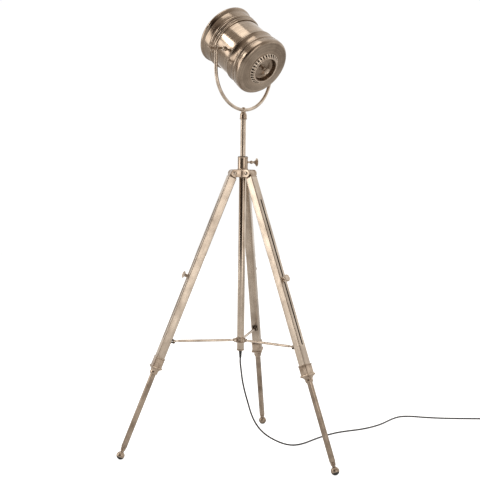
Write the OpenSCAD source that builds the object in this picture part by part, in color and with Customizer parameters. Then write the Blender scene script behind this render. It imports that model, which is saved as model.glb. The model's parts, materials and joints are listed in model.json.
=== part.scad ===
// Tripod floor lamp with a spotlight head in a round-rod yoke.
// Millimetres, +Z up. The origin is on the floor, under the centre column.
// The back leg runs along +Y. The other two legs are 120 degrees either side.

/* [Stand] */
// Length of a leg from its top bolt to the centre of its ball foot
leg_length = 1063; // [880:1:1280]
// Angle between a leg and the vertical
leg_splay = 22; // [18:0.5:26]
// Distance of each top bolt from the collar's outside
leg_pivot_out = 17; // [16:0.5:26]
// Outside width of the square upper leg
leg_w = 30; // [25:0.5:36]
// Wall of the square upper leg
leg_wall = 1.8; // [1.2:0.1:2.5]
// Diameter of the round lower leg
lower_leg_d = 20; // [16:0.5:24]
// Radius of the ball foot
foot_r = 14.5; // [12:0.5:20]
// Height cut off the foot's underside, which leaves its flat
foot_flat = 0.9; // [0.4:0.1:2]
// Distance below the ball's centre where its rubber glide starts
glide_at = 5; // [0:0.5:7]
// Distance down the leg from the top bolt to the ferrule
ferrule_at = 697; // [640:1:760]
// Distance down the leg from the top bolt to the clamp knob
leg_knob_at = 397; // [300:1:480]
// Width of the slot that the clamp knob travels in
slot_w = 6; // [5:0.5:9]

/* [Column] */
// Outside diameter of the centre column
column_d = 25.4; // [21:0.1:31]
// Wall of the centre column
column_wall = 1.6; // [1:0.1:2.5]
// Length of column below the middle of the brace collar
column_tail = 33; // [26:1:80]
// Gap between the column's bore and the sliding mast
mast_gap = 1.6; // [0.6:0.1:3]
// Wall of the collar on top of the hub
collar_wall = 5.5; // [4:0.5:8]
// Height of the collar's top above the leg bolts
collar_rise = 59; // [50:1:80]
// Height of mast that shows above the collar
mast_show = 132; // [125:1:400]
// Diameter of a brace rod
brace_d = 9; // [7:0.5:10]

/* [Yoke] */
// Gap between the front rim and a yoke arm
yoke_gap = 22; // [16:0.5:50]
// Diameter of the yoke's rod
yoke_rod_d = 12; // [9:0.5:13]
// Height of the tilt axis above the middle of the yoke's bend
yoke_arm = 68; // [60:1:110]

/* [Head] */
// Outside diameter of the barrel
barrel_d = 196; // [164:1:236]
// Wall of the barrel
barrel_wall = 1.6; // [1:0.1:3]
// Length of barrel in front of the tilt axis
barrel_front = 104; // [90:1:120]
// Length of barrel behind the tilt axis
barrel_rear = 96; // [85:1:110]
// Distance that the rolled front rim stands out from the barrel
rim_out = 12; // [9:0.5:18]
// Number of vent slots around the rear ring
vent_count = 30; // [18:1:36]
// Compass direction that the light points in, counted from +X
head_pan = 148; // [0:1:360]
// Angle of the light above the horizontal
head_tilt = 35; // [-40:1:75]

/* [Lead] */
// Diameter of the mains lead
cord_d = 6; // [5:0.5:7]

/* [Hidden] */

$fn = 96;
back = 90;
left = 210;
right = 330;
leg_angles = [back, left, right];
nickel = [0.66, 0.60, 0.53];
pale_nickel = [0.78, 0.74, 0.68];
dark_metal = [0.25, 0.21, 0.18];
rubber = [0.05, 0.05, 0.05];
eps = 0.02;

// Fits: radial gaps
run_fit = 0.05;
slip_fit = 0.1;
side_gap = 0.3;

// Diameters that follow from the column's bore
bush_wall = 3;
mast_d = column_d - 2 * (column_wall + mast_gap);
collar_d = mast_d + 2 * (bush_wall + collar_wall);
leg_pivot_r = collar_d / 2 + leg_pivot_out;

// Diameters that follow from the barrel
rim_d = barrel_d + 2 * rim_out;
yoke_r = rim_d / 2 + yoke_rod_d / 2 + yoke_gap;

// Heights
ball_z = foot_r - foot_flat;
pivot_z = ball_z + leg_length * cos(leg_splay);
collar_top = pivot_z + collar_rise;
hub_bottom = pivot_z - 14;
bell_bottom = collar_top + mast_show;
bell_h = 28;
yoke_bottom = bell_bottom + bell_h + 5;
yoke_bend_z = yoke_bottom + yoke_r;
tilt_z = yoke_bend_z + yoke_arm;

// Leg hinge
ear_r = 14;
ear_t = 8;
tongue_w = leg_w - 5;
ear_in = tongue_w / 2 + side_gap;
bolt_d = 8;
bolt_head_r = 7;
leg_bore_w = leg_w - 2 * leg_wall;
leg_top_at = ear_r + 0.6;
leg_cap_t = 3;
slot_from = 103;
slot_to = ferrule_at - 67;

// Ferrule
ferrule_wall = 2;
ferrule_band = 34;
flange_w = leg_w + 10;
flange_t = 6;
ferrule_end = ferrule_at + ferrule_band + flange_t + 22;
upper_leg_end = ferrule_at + ferrule_band + 2;

// Slider block and clamp knob
slider_w = leg_bore_w - 0.5;
slider_h = 50;
knob_shank_d = slot_w - 0.4;
lower_leg_wall = 1.5;
lower_leg_bore = lower_leg_d - 2 * lower_leg_wall;
slider_spigot = 15;

// Braces
brace_collar_r = column_d / 2 + 3.8;
brace_pin_r = brace_collar_r + 5.7;
brace_lug_at = ferrule_at - 70;
brace_lug_out = leg_w / 2 + 10.5;
brace_eye_r = 4.6;
brace_eye_t = 6;
brace_pin_d = 4;
brace_blade = 20;
// Play of the brace's outer pin as the legs fold: towards the leg, and down it
pin_play_out = 5.4;
pin_play_down = 3.5;
pin_play = sqrt(pin_play_out * pin_play_out + pin_play_down * pin_play_down);
// The end of a brace that meets the leg, as distances out from the axis and up
lug_end_r = leg_pivot_r + brace_lug_at * sin(leg_splay) - brace_lug_out * cos(leg_splay);
lug_end_z = pivot_z - brace_lug_at * cos(leg_splay) - brace_lug_out * sin(leg_splay);
// The collar sits this far below the braces' outer ends, to a whole millimetre
brace_lift = 4.3;
brace_collar_z = round(lug_end_z - brace_lift);
column_bottom = brace_collar_z - column_tail;
brace_run = lug_end_r - brace_pin_r;
brace_rise = lug_end_z - brace_collar_z;
brace_len = sqrt(brace_run * brace_run + brace_rise * brace_rise);
brace_slope = atan2(brace_rise, brace_run);

// Mast and thumb screw
mast_wall = 1.5;
mast_inside = 400;
mast_spigot_d = mast_d - 3;
mast_spigot_h = 20;
yoke_bolt_d = 6;
nut_r = 9.8;
screw_angle = 30;
screw_z = collar_top - 19;
screw_d = 7;

// Yoke eyes and tilt pivots
eye_r = 11;
eye_t = 9;
stud_d = 8;
stud_reach = yoke_r + 27;
boss_r = 9;

// Head, along its own axis: +Z is the light's direction
barrel_r = barrel_d / 2;
barrel_in = barrel_r - barrel_wall;
sleeve_in = barrel_r + slip_fit;
sleeve_back = 43;
rim_r = rim_d / 2;
rim_front = barrel_front + 14;
skirt_front = -31;
cap_shoulder = -(barrel_rear + 5);
cap_r = barrel_r + 7.5;
cap_round = 12;
cap_face = cap_shoulder - cap_round;
vent_out_r = 59;
vent_in_r = 48;
vent_base = cap_face - 4;
vent_h = 10;
vent_top = vent_base - vent_h;
cup_r = 45;
cup_deep = 19;
cup_floor = vent_top + cup_deep;

// Lead
cord_r = cord_d / 2;
gland_top = column_bottom - 5;
gland_len = 26;
coil_turn_r = 33;
coil_half_w = 1.5 * cord_d;
coil_h = 2 * cord_d;
coil_x = 916;
coil_y = 786;
lead_points = [
    [0, 0, 340], [0, 0, 322], [3, 2, 295], [8, 5, 255], [16, 10, 215], [27, 17, 172],
    [38, 24, 132], [52, 33, 98], [70, 44, 70], [92, 59, 47], [118, 76, 28], [146, 94, 13],
    [172, 112, 5], [196, 134, 3], [216, 166, 3], [234, 210, 3], [255, 258, 3], [281, 308, 3],
    [313, 354, 3], [351, 392, 3], [392, 428, 3], [430, 476, 3], [462, 534, 3], [484, 594, 3],
    [505, 650, 3], [532, 692, 3], [570, 708, 3], [618, 706, 3], [676, 707, 3], [738, 716, 3],
    [800, 730, 3], [856, 743, 3], [890, 750, 3], [916, 753, 3]
];
tail_points = [
    [949, 800, 3], [949, 812, 3], [948, 822, 3], [945, 832, 3], [943, 842, 3]
];
plug_x = 943;
plug_y = 842;

// ---------- shared shapes ----------

// Places a piece drawn with its leg running down -Z and its outer face towards +X
module on_leg(angle) {
    rotate([0, 0, angle])
        translate([leg_pivot_r, 0, pivot_z])
            rotate([0, -leg_splay, 0])
                children();
}

// Places a piece drawn in the yoke's frame: +X along the tilt axis
module on_yoke() {
    rotate([0, 0, head_pan - 90])
        children();
}

// Places a piece drawn in the head's frame: +Z out of the lens
module on_head() {
    on_yoke()
        translate([0, 0, tilt_z])
            rotate([head_tilt - 90, 0, 0])
                children();
}

// Square bar that runs down -Z from one depth to another
module square_bar(w, from, to) {
    translate([-w / 2, -w / 2, -to])
        cube([w, w, to - from]);
}

// Round bar along Z between two heights
module round_bar(r, z0, z1) {
    translate([0, 0, z0])
        cylinder(r = r, h = z1 - z0);
}

// Flat-ended bar along Y, centred on the origin
module cross_bar(r, w) {
    rotate([90, 0, 0])
        cylinder(r = r, h = w, center = true);
}

// Round ridge around a cylinder
module bead(r, z, size) {
    rotate_extrude()
        translate([r, z])
            circle(r = size, $fn = 24);
}

// Trumpet-headed thumb screw along +Z, with its shoulder at the origin
module trumpet(shank_r, neck, bead_r, head_r) {
    waist = neck + 2 * bead_r * 0.8;
    tip = waist + head_r * 1.05;
    rotate_extrude()
        difference() {
            union() {
                translate([0, 0])
                    square([shank_r, tip - 2]);
                translate([0, neck + bead_r * 0.8])
                    circle(r = bead_r, $fn = 32);
                polygon([
                    [0, waist - 2], [shank_r, waist - 2], [shank_r * 1.2, waist + head_r * 0.3],
                    [head_r * 0.62, waist + head_r * 0.68], [head_r, tip - 1.5], [head_r, tip],
                    [0, tip]
                ]);
            }
            polygon([[0, tip - head_r * 0.45], [head_r - 1.6, tip + eps], [0, tip + eps]]);
            translate([-2 * head_r, -head_r])
                square([2 * head_r, 4 * head_r + tip]);
        }
}

// ---------- hub and column ----------

module hub_ears(angle) {
    rotate([0, 0, angle])
        for (side = [-1, 1])
            translate([0, side * (ear_in + ear_t / 2), 0])
                hull() {
                    translate([leg_pivot_r, 0, pivot_z])
                        cross_bar(ear_r, ear_t, $fn = 32);
                    translate([collar_d / 2 - 8, 0, pivot_z + 6])
                        cross_bar(8, ear_t, $fn = 32);
                    translate([collar_d / 2 - 8, 0, hub_bottom + 5])
                        cross_bar(5, ear_t, $fn = 32);
                }
}

module leg_bolt_bores() {
    for (a = leg_angles)
        rotate([0, 0, a])
            translate([leg_pivot_r, 0, pivot_z])
                cross_bar(bolt_d / 2 + run_fit, 4 * ear_in);
}

module on_screw() {
    rotate([0, 0, screw_angle])
        translate([collar_d / 2, 0, screw_z])
            rotate([0, 90, 0])
                children();
}

module hub_casting() {
    core_r = collar_d / 2 + 2;
    color(nickel)
        difference() {
            union() {
                round_bar(core_r, hub_bottom, pivot_z + 12);
                translate([0, 0, pivot_z + 12])
                    cylinder(r1 = core_r, r2 = collar_d / 2, h = 7);
                round_bar(collar_d / 2, pivot_z + 15, collar_top);
                bead(collar_d / 2 - 0.6, collar_top - 2.5, 1.6);
                for (a = leg_angles)
                    hub_ears(a);
            }
            round_bar(column_d / 2 + slip_fit, hub_bottom - 1, pivot_z + 4);
            round_bar(mast_d / 2 + bush_wall + slip_fit, pivot_z + 3, collar_top + 3);
            leg_bolt_bores();
            on_screw()
                translate([0, 0, -bush_wall - 8])
                    cylinder(r = screw_d / 2 + run_fit, h = bush_wall + 12);
        }
}

module leg_bolts() {
    half = ear_in + ear_t;
    color(pale_nickel)
        for (a = leg_angles)
            rotate([0, 0, a])
                translate([leg_pivot_r, 0, pivot_z])
                    rotate([90, 0, 0]) {
                        cylinder(d = bolt_d, h = 2 * half + 2, center = true);
                        for (m = [0, 1])
                            mirror([0, 0, m])
                                translate([0, 0, half])
                                    rotate_extrude()
                                        polygon([
                                            [0, 0], [bolt_head_r, 0], [bolt_head_r, 2.2],
                                            [bolt_head_r - 1.2, 3.4], [bolt_head_r - 4, 4.3], [0, 4.6]
                                        ]);
                    }
}

module mast_bush() {
    flange = 1.6;
    color(dark_metal)
        difference() {
            union() {
                round_bar(mast_d / 2 + bush_wall, pivot_z + 4.2, collar_top);
                round_bar(collar_d / 2 - 1.5, collar_top, collar_top + flange);
            }
            round_bar(mast_d / 2 + run_fit, pivot_z, collar_top + flange + 1);
            on_screw()
                translate([0, 0, -collar_d / 2])
                    cylinder(r = screw_d / 2 + run_fit, h = collar_d / 2);
        }
}

module column_tube() {
    color(pale_nickel)
        difference() {
            round_bar(column_d / 2, column_bottom, pivot_z + 3.8);
            round_bar(column_d / 2 - column_wall, column_bottom - 1, pivot_z + 5);
        }
}

module column_end_cap() {
    spigot_r = column_d / 2 - column_wall - slip_fit;
    color(nickel)
        difference() {
            union() {
                round_bar(column_d / 2 + 1.3, gland_top, column_bottom);
                round_bar(spigot_r, column_bottom - eps, column_bottom + 14);
            }
            round_bar(cord_r + 2.5, gland_top - 1, column_bottom + 15);
        }
}

module cord_gland() {
    color(rubber)
        difference() {
            union() {
                round_bar(cord_r + 2.4, gland_top, column_bottom + 14);
                round_bar(cord_r + 4, gland_top - 3, gland_top);
                translate([0, 0, gland_top - gland_len])
                    cylinder(r1 = cord_r + 0.8, r2 = cord_r + 2.6, h = gland_len - 3);
            }
            round_bar(cord_r + slip_fit, gland_top, column_bottom + 15);
        }
}

// ---------- mast ----------

module mast_tube() {
    color(pale_nickel)
        difference() {
            union() {
                round_bar(mast_d / 2, collar_top - mast_inside, bell_bottom - 0.3);
                round_bar(mast_spigot_d / 2, bell_bottom - 2, bell_bottom + mast_spigot_h);
            }
            round_bar(mast_d / 2 - mast_wall - 1.5, collar_top - mast_inside - 1, bell_bottom + 60);
        }
}

module thumb_screw() {
    color(nickel)
        on_screw() {
            translate([0, 0, -(collar_d - mast_d) / 2 + 0.3])
                cylinder(d = screw_d, h = (collar_d - mast_d) / 2 + 1);
            trumpet(screw_d / 2, 9, 6.5, 15);
        }
}

// ---------- yoke ----------

module yoke_base() {
    foot = mast_d / 2 + 3.9;
    neck = mast_d / 2 - 1.3;
    seat = yoke_bottom - bell_bottom - side_gap;
    color(nickel)
        difference() {
            translate([0, 0, bell_bottom])
                rotate_extrude()
                    polygon([
                        [0, 0], [foot, 0], [foot, 2.5], [foot - 1.2, 4], [foot - 1.2, 14],
                        [foot - 2.2, 19], [foot - 4.2, 23], [neck, bell_h - 2], [nut_r, bell_h + 1],
                        [nut_r, seat], [0, seat]
                    ]);
            round_bar(mast_spigot_d / 2 + run_fit, bell_bottom - 1, bell_bottom + mast_spigot_h + 0.5);
            on_yoke()
                yoke_bend(yoke_rod_d / 2 + slip_fit, 360);
            round_bar(yoke_bolt_d / 2 + slip_fit, bell_bottom, bell_bottom + 60);
        }
}

module yoke_bolt() {
    head_r = mast_d / 2 - mast_wall - 3;
    head_h = 4;
    head_top = bell_bottom + mast_spigot_h + 0.4;
    color(dark_metal) {
        round_bar(head_r, head_top - head_h, head_top);
        round_bar(yoke_bolt_d / 2, head_top - 1, yoke_bottom + nut_r - 2);
    }
}

// Domed nut that sits astride the rod
module yoke_ball_nut() {
    color(nickel)
        difference() {
            translate([0, 0, yoke_bottom])
                intersection() {
                    sphere(r = nut_r);
                    cylinder(r = nut_r + 1, h = nut_r + 1);
                }
            on_yoke()
                yoke_bend(yoke_rod_d / 2 + slip_fit, 360);
            round_bar(yoke_bolt_d / 2 + slip_fit, bell_bottom, yoke_bottom + nut_r - 1.6);
        }
}

// Round rod bent through an angle below the yoke's arms
module yoke_bend(r, turn) {
    translate([0, 0, yoke_bend_z])
        rotate([-90, 0, 0])
            rotate_extrude(angle = turn)
                translate([yoke_r, 0])
                    circle(r = r);
}

module yoke_eye(side) {
    translate([side * yoke_r, 0, tilt_z])
        rotate([0, 90, 0])
            cylinder(r = eye_r, h = eye_t, center = true);
}

module yoke() {
    rod_r = yoke_rod_d / 2;
    // The round arm stops short of the washers, which are thinner than it
    arm_top = yoke_arm - eye_r - 2;
    color(pale_nickel)
        on_yoke()
            difference() {
                union() {
                    yoke_bend(rod_r, 180);
                    for (side = [-1, 1]) {
                        translate([side * yoke_r, 0, yoke_bend_z]) {
                            cylinder(r = rod_r, h = arm_top);
                            translate([0, 0, arm_top])
                                sphere(r = rod_r);
                        }
                        yoke_eye(side);
                    }
                }
                for (side = [-1, 1])
                    translate([side * yoke_r, 0, tilt_z])
                        rotate([0, 90, 0])
                            cylinder(r = stud_d / 2 + run_fit, h = 4 * eye_t, center = true);
                round_bar(yoke_bolt_d / 2 + slip_fit, yoke_bottom - rod_r - 1, yoke_bottom + rod_r + 1);
            }
}

// ---------- head ----------

module pivot_holes(r) {
    rotate([0, 90, 0])
        cylinder(r = r, h = 4 * barrel_r, center = true);
}

module head_barrel() {
    color(nickel)
        on_head()
            difference() {
                round_bar(barrel_r, -barrel_rear, barrel_front);
                round_bar(barrel_in, -barrel_rear - 1, barrel_front + 1);
                pivot_holes(stud_d / 2 + slip_fit);
            }
}

module front_bezel() {
    skin = 2.4;
    outer = sleeve_in + skin;
    lip_in = barrel_r - 5;
    color(nickel)
        on_head()
            difference() {
                union() {
                    round_bar(outer + 0.6, sleeve_back, sleeve_back + 14);
                    bead(outer + 1.2, sleeve_back + 4, 2.2);
                    round_bar(outer + 0.2, sleeve_back + 12, rim_front - 14);
                    bead(outer + 1.6, sleeve_back + 25, 3);
                    bead(outer + 0.8, sleeve_back + 14, 2);
                    round_bar(outer + 2.6, sleeve_back + 29, rim_front - 17);
                    translate([0, 0, rim_front - 17])
                        cylinder(r1 = outer + 0.6, r2 = rim_r - 4, h = 7);
                    bead(rim_r - 4.5, rim_front - 7, 4.5);
                    round_bar(rim_r - 2, rim_front - 9, rim_front - 4);
                    bead(rim_r - 9, rim_front - 4.5, 4.5);
                    round_bar(rim_r - 9, rim_front - 10, rim_front);
                }
                round_bar(sleeve_in, sleeve_back - 1, barrel_front + 3.6);
                round_bar(lip_in, 0, rim_front + 1);
                translate([0, 0, rim_front - 4])
                    cylinder(r1 = lip_in, r2 = lip_in + 5, h = 4 + eps);
            }
}

module lens_glass() {
    color([0.85, 0.9, 0.92, 0.4])
        on_head()
            difference() {
                round_bar(barrel_r - 0.4, barrel_front + 0.2, barrel_front + 3.4);
                translate([0, 0, barrel_front - 240])
                    sphere(r = 241, $fn = 128);
            }
}

// Bowl of the reflector: radius at a height up the bowl
function bowl_r(t, open_r, neck_r) = neck_r + (open_r - neck_r) * sqrt(t);

module reflector() {
    steps = 14;
    bowl_back = -42;
    bowl_front = barrel_front - 12;
    open_r = barrel_in - 3;
    neck_r = 24;
    skin = 1.2;
    outer = [for (i = [0:steps])
        [bowl_r(i / steps, open_r, neck_r), bowl_back + (bowl_front - bowl_back) * i / steps]];
    inner = [for (i = [steps:-1:0])
        [bowl_r(i / steps, open_r, neck_r) - skin, bowl_back + (bowl_front - bowl_back) * i / steps]];
    color(pale_nickel)
        on_head()
            rotate_extrude()
                union() {
                    polygon(concat(outer, inner));
                    translate([open_r - skin, bowl_front - skin])
                        square([barrel_in - slip_fit - open_r + skin, skin]);
                }
}

module lampholder() {
    holder_r = 19;
    color([0.1, 0.1, 0.1])
        on_head()
            difference() {
                union() {
                    round_bar(holder_r, -88, -44);
                    bead(holder_r - 0.5, -52, 1.8);
                    round_bar(6, cup_floor + 2, -88);
                }
                round_bar(14, -82, -43);
            }
}

module lamp_bulb() {
    color([0.95, 0.93, 0.88, 0.7])
        on_head()
            rotate_extrude()
                polygon(concat(
                    [[0, -80], [6, -80], [9, -77], [13, -76], [13, -50], [14, -42], [17, -28]],
                    [for (a = [-44:8:84]) [30 * cos(a), 4 + 30 * sin(a)]],
                    [[0, 34]]
                ));
}

module rear_cap() {
    skin = 2;
    outer = cap_r - 5;
    face_in = vent_in_r - 1;
    color(nickel)
        on_head()
            difference() {
                union() {
                    round_bar(outer, cap_shoulder, skirt_front);
                    bead(outer - 0.4, skirt_front - 5, 2.4);
                    round_bar(outer + 1.6, skirt_front - 14, skirt_front - 3);
                    bead(outer + 0.6, skirt_front - 42, 2.8);
                    bead(outer + 0.2, skirt_front - 50, 1.6);
                    round_bar(cap_r - 1.6, cap_shoulder, skirt_front - 54);
                    bead(cap_r - 2.4, cap_shoulder + 14, 2.4);
                    rotate_extrude()
                        intersection() {
                            translate([cap_r - cap_round, cap_shoulder])
                                circle(r = cap_round, $fn = 64);
                            translate([0, cap_face])
                                square([cap_r, cap_round]);
                        }
                    rotate_extrude()
                        polygon([
                            [0, cap_shoulder], [cap_r - cap_round, cap_shoulder], [cap_r - cap_round, cap_face],
                            [cap_r - 24, cap_face - 2], [vent_out_r + 6, vent_base + 0.4],
                            [vent_out_r, vent_base], [0, vent_base]
                        ]);
                }
                round_bar(sleeve_in, cap_shoulder, skirt_front + 1);
                rotate_extrude()
                    polygon([
                        [0, cap_shoulder - eps], [0, cap_shoulder + 1], [sleeve_in, cap_shoulder + 1],
                        [sleeve_in, cap_shoulder - 1], [cap_r - cap_round, cap_face + skin + 0.6],
                        [vent_out_r + 4, vent_base + skin + 0.4], [face_in, vent_base + skin],
                        [0, vent_base + skin]
                    ]);
                round_bar(face_in, vent_base - 1, cap_shoulder + 1);
            }
}

module vent_ring() {
    skin = 2.2;
    slope = vent_h - 2;
    slot = 4.2;
    color(nickel)
        on_head()
            difference() {
                union() {
                    rotate_extrude()
                        polygon([
                            [vent_out_r, vent_base], [vent_out_r, vent_base - 1.4], [vent_in_r, vent_top + 1],
                            [vent_in_r - 1, vent_top + 1], [vent_in_r - 1, vent_top + 1 + skin],
                            [vent_out_r - skin, vent_base]
                        ]);
                    bead(vent_in_r - 1, vent_top + 1.6, 1.8);
                }
                for (i = [0:vent_count - 1])
                    rotate([0, 0, (i + 0.5) * 360 / vent_count])
                        translate([vent_in_r + 1.8, -slot / 2, vent_top - 2])
                            cube([vent_out_r - vent_in_r - 3.2, slot, slope + 3]);
                round_bar(cup_r + slip_fit, vent_top - 5, vent_base + 5);
            }
}

module rear_cup() {
    skin = 1.6;
    color(nickel)
        on_head()
            difference() {
                round_bar(cup_r, vent_top + 0.4, cup_floor + skin);
                round_bar(cup_r - skin, vent_top - 1, cup_floor);
                round_bar(4.1, cup_floor - 1, cup_floor + skin + 1);
            }
}

module rear_knob() {
    color(nickel)
        on_head()
            translate([0, 0, cup_floor])
                mirror([0, 0, 1]) {
                    trumpet(4, 7, 6, 11);
                    translate([0, 0, -2])
                        cylinder(r = 4, h = 3);
                }
}

module pivot_studs() {
    color(pale_nickel)
        on_head()
            for (side = [-1, 1])
                rotate([0, side * 90, 0]) {
                    translate([0, 0, barrel_in - 4])
                        cylinder(d = stud_d, h = stud_reach - barrel_in + 4);
                    translate([0, 0, barrel_in - 5])
                        intersection() {
                            cylinder(r = 8, h = 4);
                            translate([-20, -20, 0])
                                cube([40, 40, 4]);
                        }
                    translate([0, 0, barrel_r + 0.4])
                        cylinder(r = boss_r, h = 4);
                    translate([0, 0, barrel_r + 8])
                        sphere(r = boss_r - 1.6);
                    translate([0, 0, yoke_r - eye_t / 2 - 3.4])
                        cylinder(r = eye_r - 2, h = 3);
                }
}

// Wing nut with two looped wings that clamps the tilt
module tilt_knob(side) {
    start = yoke_r + eye_t / 2 + 0.4;
    loop_r = 6.6;
    loop_rod = 2.1;
    loop_at = 14.5;
    hub_r = 5.6;
    color(nickel)
        on_yoke()
            translate([0, 0, tilt_z])
                rotate([0, side * 90, 0])
                    translate([0, 0, start])
                        difference() {
                            union() {
                                cylinder(r = 9, h = 3);
                                cylinder(r = 7.2, h = 8);
                                cylinder(r = hub_r, h = 26);
                                translate([0, 0, 27])
                                    sphere(r = 6.4);
                                for (m = [0, 1])
                                    mirror([m, 0, 0])
                                        translate([hub_r + loop_r - 1, 0, loop_at])
                                            rotate([90, 0, 0])
                                                rotate_extrude()
                                                    translate([loop_r, 0])
                                                        circle(r = loop_rod, $fn = 24);
                            }
                            translate([0, 0, -1])
                                cylinder(r = stud_d / 2 + run_fit, h = stud_reach - start + 1.5);
                        }
}

// ---------- legs ----------

module leg_top(angle) {
    plug_to = leg_top_at + leg_cap_t + 34;
    color(nickel)
        on_leg(angle)
            difference() {
                union() {
                    cross_bar(ear_r - 1, tongue_w);
                    translate([-ear_r + 1, -tongue_w / 2, -leg_top_at - 1])
                        cube([2 * ear_r - 2, tongue_w, leg_top_at + 1]);
                    square_bar(leg_w, leg_top_at, leg_top_at + leg_cap_t);
                    square_bar(leg_bore_w - 0.2, leg_top_at, plug_to);
                }
                cross_bar(bolt_d / 2 + run_fit, 2 * leg_w);
                square_bar(leg_bore_w - 8, leg_top_at + 8, plug_to + 1);
            }
}

module upper_leg(angle) {
    from = leg_top_at + leg_cap_t;
    color(nickel)
        on_leg(angle)
            difference() {
                square_bar(leg_w, from, upper_leg_end);
                square_bar(leg_bore_w, from - 1, upper_leg_end + 1);
                translate([0, -slot_w / 2, -slot_to])
                    cube([leg_w, slot_w, slot_to - slot_from]);
            }
}

module brace_lug(angle) {
    plate_t = 3;
    plate_in = brace_eye_t / 2 + side_gap;
    nose = brace_eye_r + 0.8;
    play_r = brace_pin_d / 2 + 0.5;
    foot_t = 1.6;
    color(dark_metal)
        on_leg(angle)
            translate([-brace_lug_out, 0, -brace_lug_at])
                difference() {
                    for (side = [-1, 1])
                        translate([0, side * (plate_in + plate_t / 2), 0]) {
                            cross_bar(nose, plate_t);
                            translate([0, -plate_t / 2, -nose - pin_play_down])
                                cube([brace_lug_out - leg_w / 2, plate_t, 2 * nose + pin_play_down]);
                            translate([0, 0, -pin_play_down])
                                cross_bar(nose, plate_t);
                            translate([-nose, -plate_t / 2, -pin_play_down])
                                cube([nose, plate_t, pin_play_down]);
                            translate([brace_lug_out - leg_w / 2 - foot_t, side * 2 - 3.5, -nose - pin_play_down - 3])
                                cube([foot_t, 7, 2 * nose + pin_play_down + 6]);
                        }
                    translate([-nose, -plate_in, -leg_w])
                        cube([leg_w, 2 * plate_in, 2 * leg_w]);
                    rotate([0, atan2(pin_play_down, pin_play_out), 0]) {
                        cross_bar(play_r, leg_w);
                        translate([pin_play, 0, 0])
                            cross_bar(play_r, leg_w);
                        translate([0, -leg_w / 2, -play_r])
                            cube([pin_play, leg_w, 2 * play_r]);
                    }
                }
}

module ferrule(angle) {
    round_r = lower_leg_d / 2 + 3.4;
    outer = leg_w + 2 * ferrule_wall;
    cove_from = ferrule_at + ferrule_band + flange_t;
    cove_h = ferrule_end - cove_from - 4;
    corner_r = flange_w / 2 * sqrt(2);
    cove = [for (i = [0:8])
        [round_r + (corner_r - round_r) * pow(i / 8, 1.7), -cove_from - cove_h * (1 - i / 8)]];
    color(nickel)
        on_leg(angle)
            difference() {
                union() {
                    square_bar(outer, ferrule_at, ferrule_at + ferrule_band + 1);
                    square_bar(outer + 2.4, ferrule_at, ferrule_at + 4);
                    square_bar(flange_w, ferrule_at + ferrule_band, cove_from);
                    intersection() {
                        rotate_extrude()
                            polygon(concat([[0, -cove_from - cove_h]], cove, [[0, -cove_from]]));
                        square_bar(flange_w, cove_from - 1, ferrule_end);
                    }
                    round_bar(round_r, -ferrule_end, -cove_from);
                }
                square_bar(leg_w + 0.2, ferrule_at - 1, upper_leg_end);
                round_bar(lower_leg_d / 2 + run_fit, -ferrule_end - 1, -ferrule_at);
            }
}

module slider(angle) {
    from = leg_knob_at - slider_h / 2;
    to = leg_knob_at + slider_h / 2;
    color(dark_metal)
        on_leg(angle)
            difference() {
                union() {
                    square_bar(slider_w, from, to);
                    round_bar(lower_leg_bore / 2 - slip_fit, -to - slider_spigot, -to + 1);
                }
                translate([-slider_w / 2 + 4, 0, -leg_knob_at])
                    rotate([0, 90, 0])
                        cylinder(r = knob_shank_d / 2 + run_fit, h = slider_w);
            }
}

module lower_leg(angle) {
    top = leg_knob_at + slider_h / 2;
    neck = leg_length - foot_r - 16;
    color(pale_nickel)
        on_leg(angle)
            difference() {
                union() {
                    round_bar(lower_leg_d / 2, -neck, -top);
                    translate([0, 0, -leg_length])
                        rotate_extrude()
                            polygon([
                                [0, foot_r - 2], [6.4, foot_r - 2], [6, foot_r + 2], [7.5, foot_r + 5],
                                [8.6, foot_r + 7], [7.6, foot_r + 9], [8.6, foot_r + 12],
                                [lower_leg_d / 2, foot_r + 16], [0, foot_r + 16]
                            ]);
                    intersection() {
                        translate([0, 0, -leg_length])
                            sphere(r = foot_r);
                        translate([-2 * foot_r, -2 * foot_r, -leg_length - glide_at])
                            cube(4 * foot_r);
                    }
                }
                round_bar(lower_leg_bore / 2, -neck + 6, -top + 1);
                round_bar(4.1, -leg_length - foot_r, -leg_length + 3);
            }
}

module foot_glide(angle) {
    color(rubber)
        difference() {
            on_leg(angle)
                union() {
                    difference() {
                        translate([0, 0, -leg_length])
                            sphere(r = foot_r);
                        translate([-2 * foot_r, -2 * foot_r, -leg_length - glide_at])
                            cube(4 * foot_r);
                    }
                    round_bar(4, -leg_length - glide_at - 2, -leg_length + 2.5);
                }
            rotate([0, 0, angle])
                translate([0, -leg_length, -foot_r])
                    cube([2 * leg_length, 2 * leg_length, foot_r]);
        }
}

module leg_knob(angle) {
    face = leg_w / 2 + 0.2;
    color(nickel)
        on_leg(angle)
            translate([face, 0, -leg_knob_at])
                rotate([0, 90, 0]) {
                    translate([0, 0, -face + 1])
                        cylinder(d = knob_shank_d, h = face);
                    cylinder(r = 9, h = 2.4);
                    rotate_extrude()
                        polygon([
                            [0, 0], [5, 0], [5, 5], [6.4, 7], [6.4, 9], [5.4, 10.5], [8, 12.5],
                            [12.6, 14.5], [13, 16], [12.4, 18], [10, 18.6], [8.6, 17.4], [0, 17.4]
                        ]);
                }
}

// ---------- braces ----------

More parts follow.
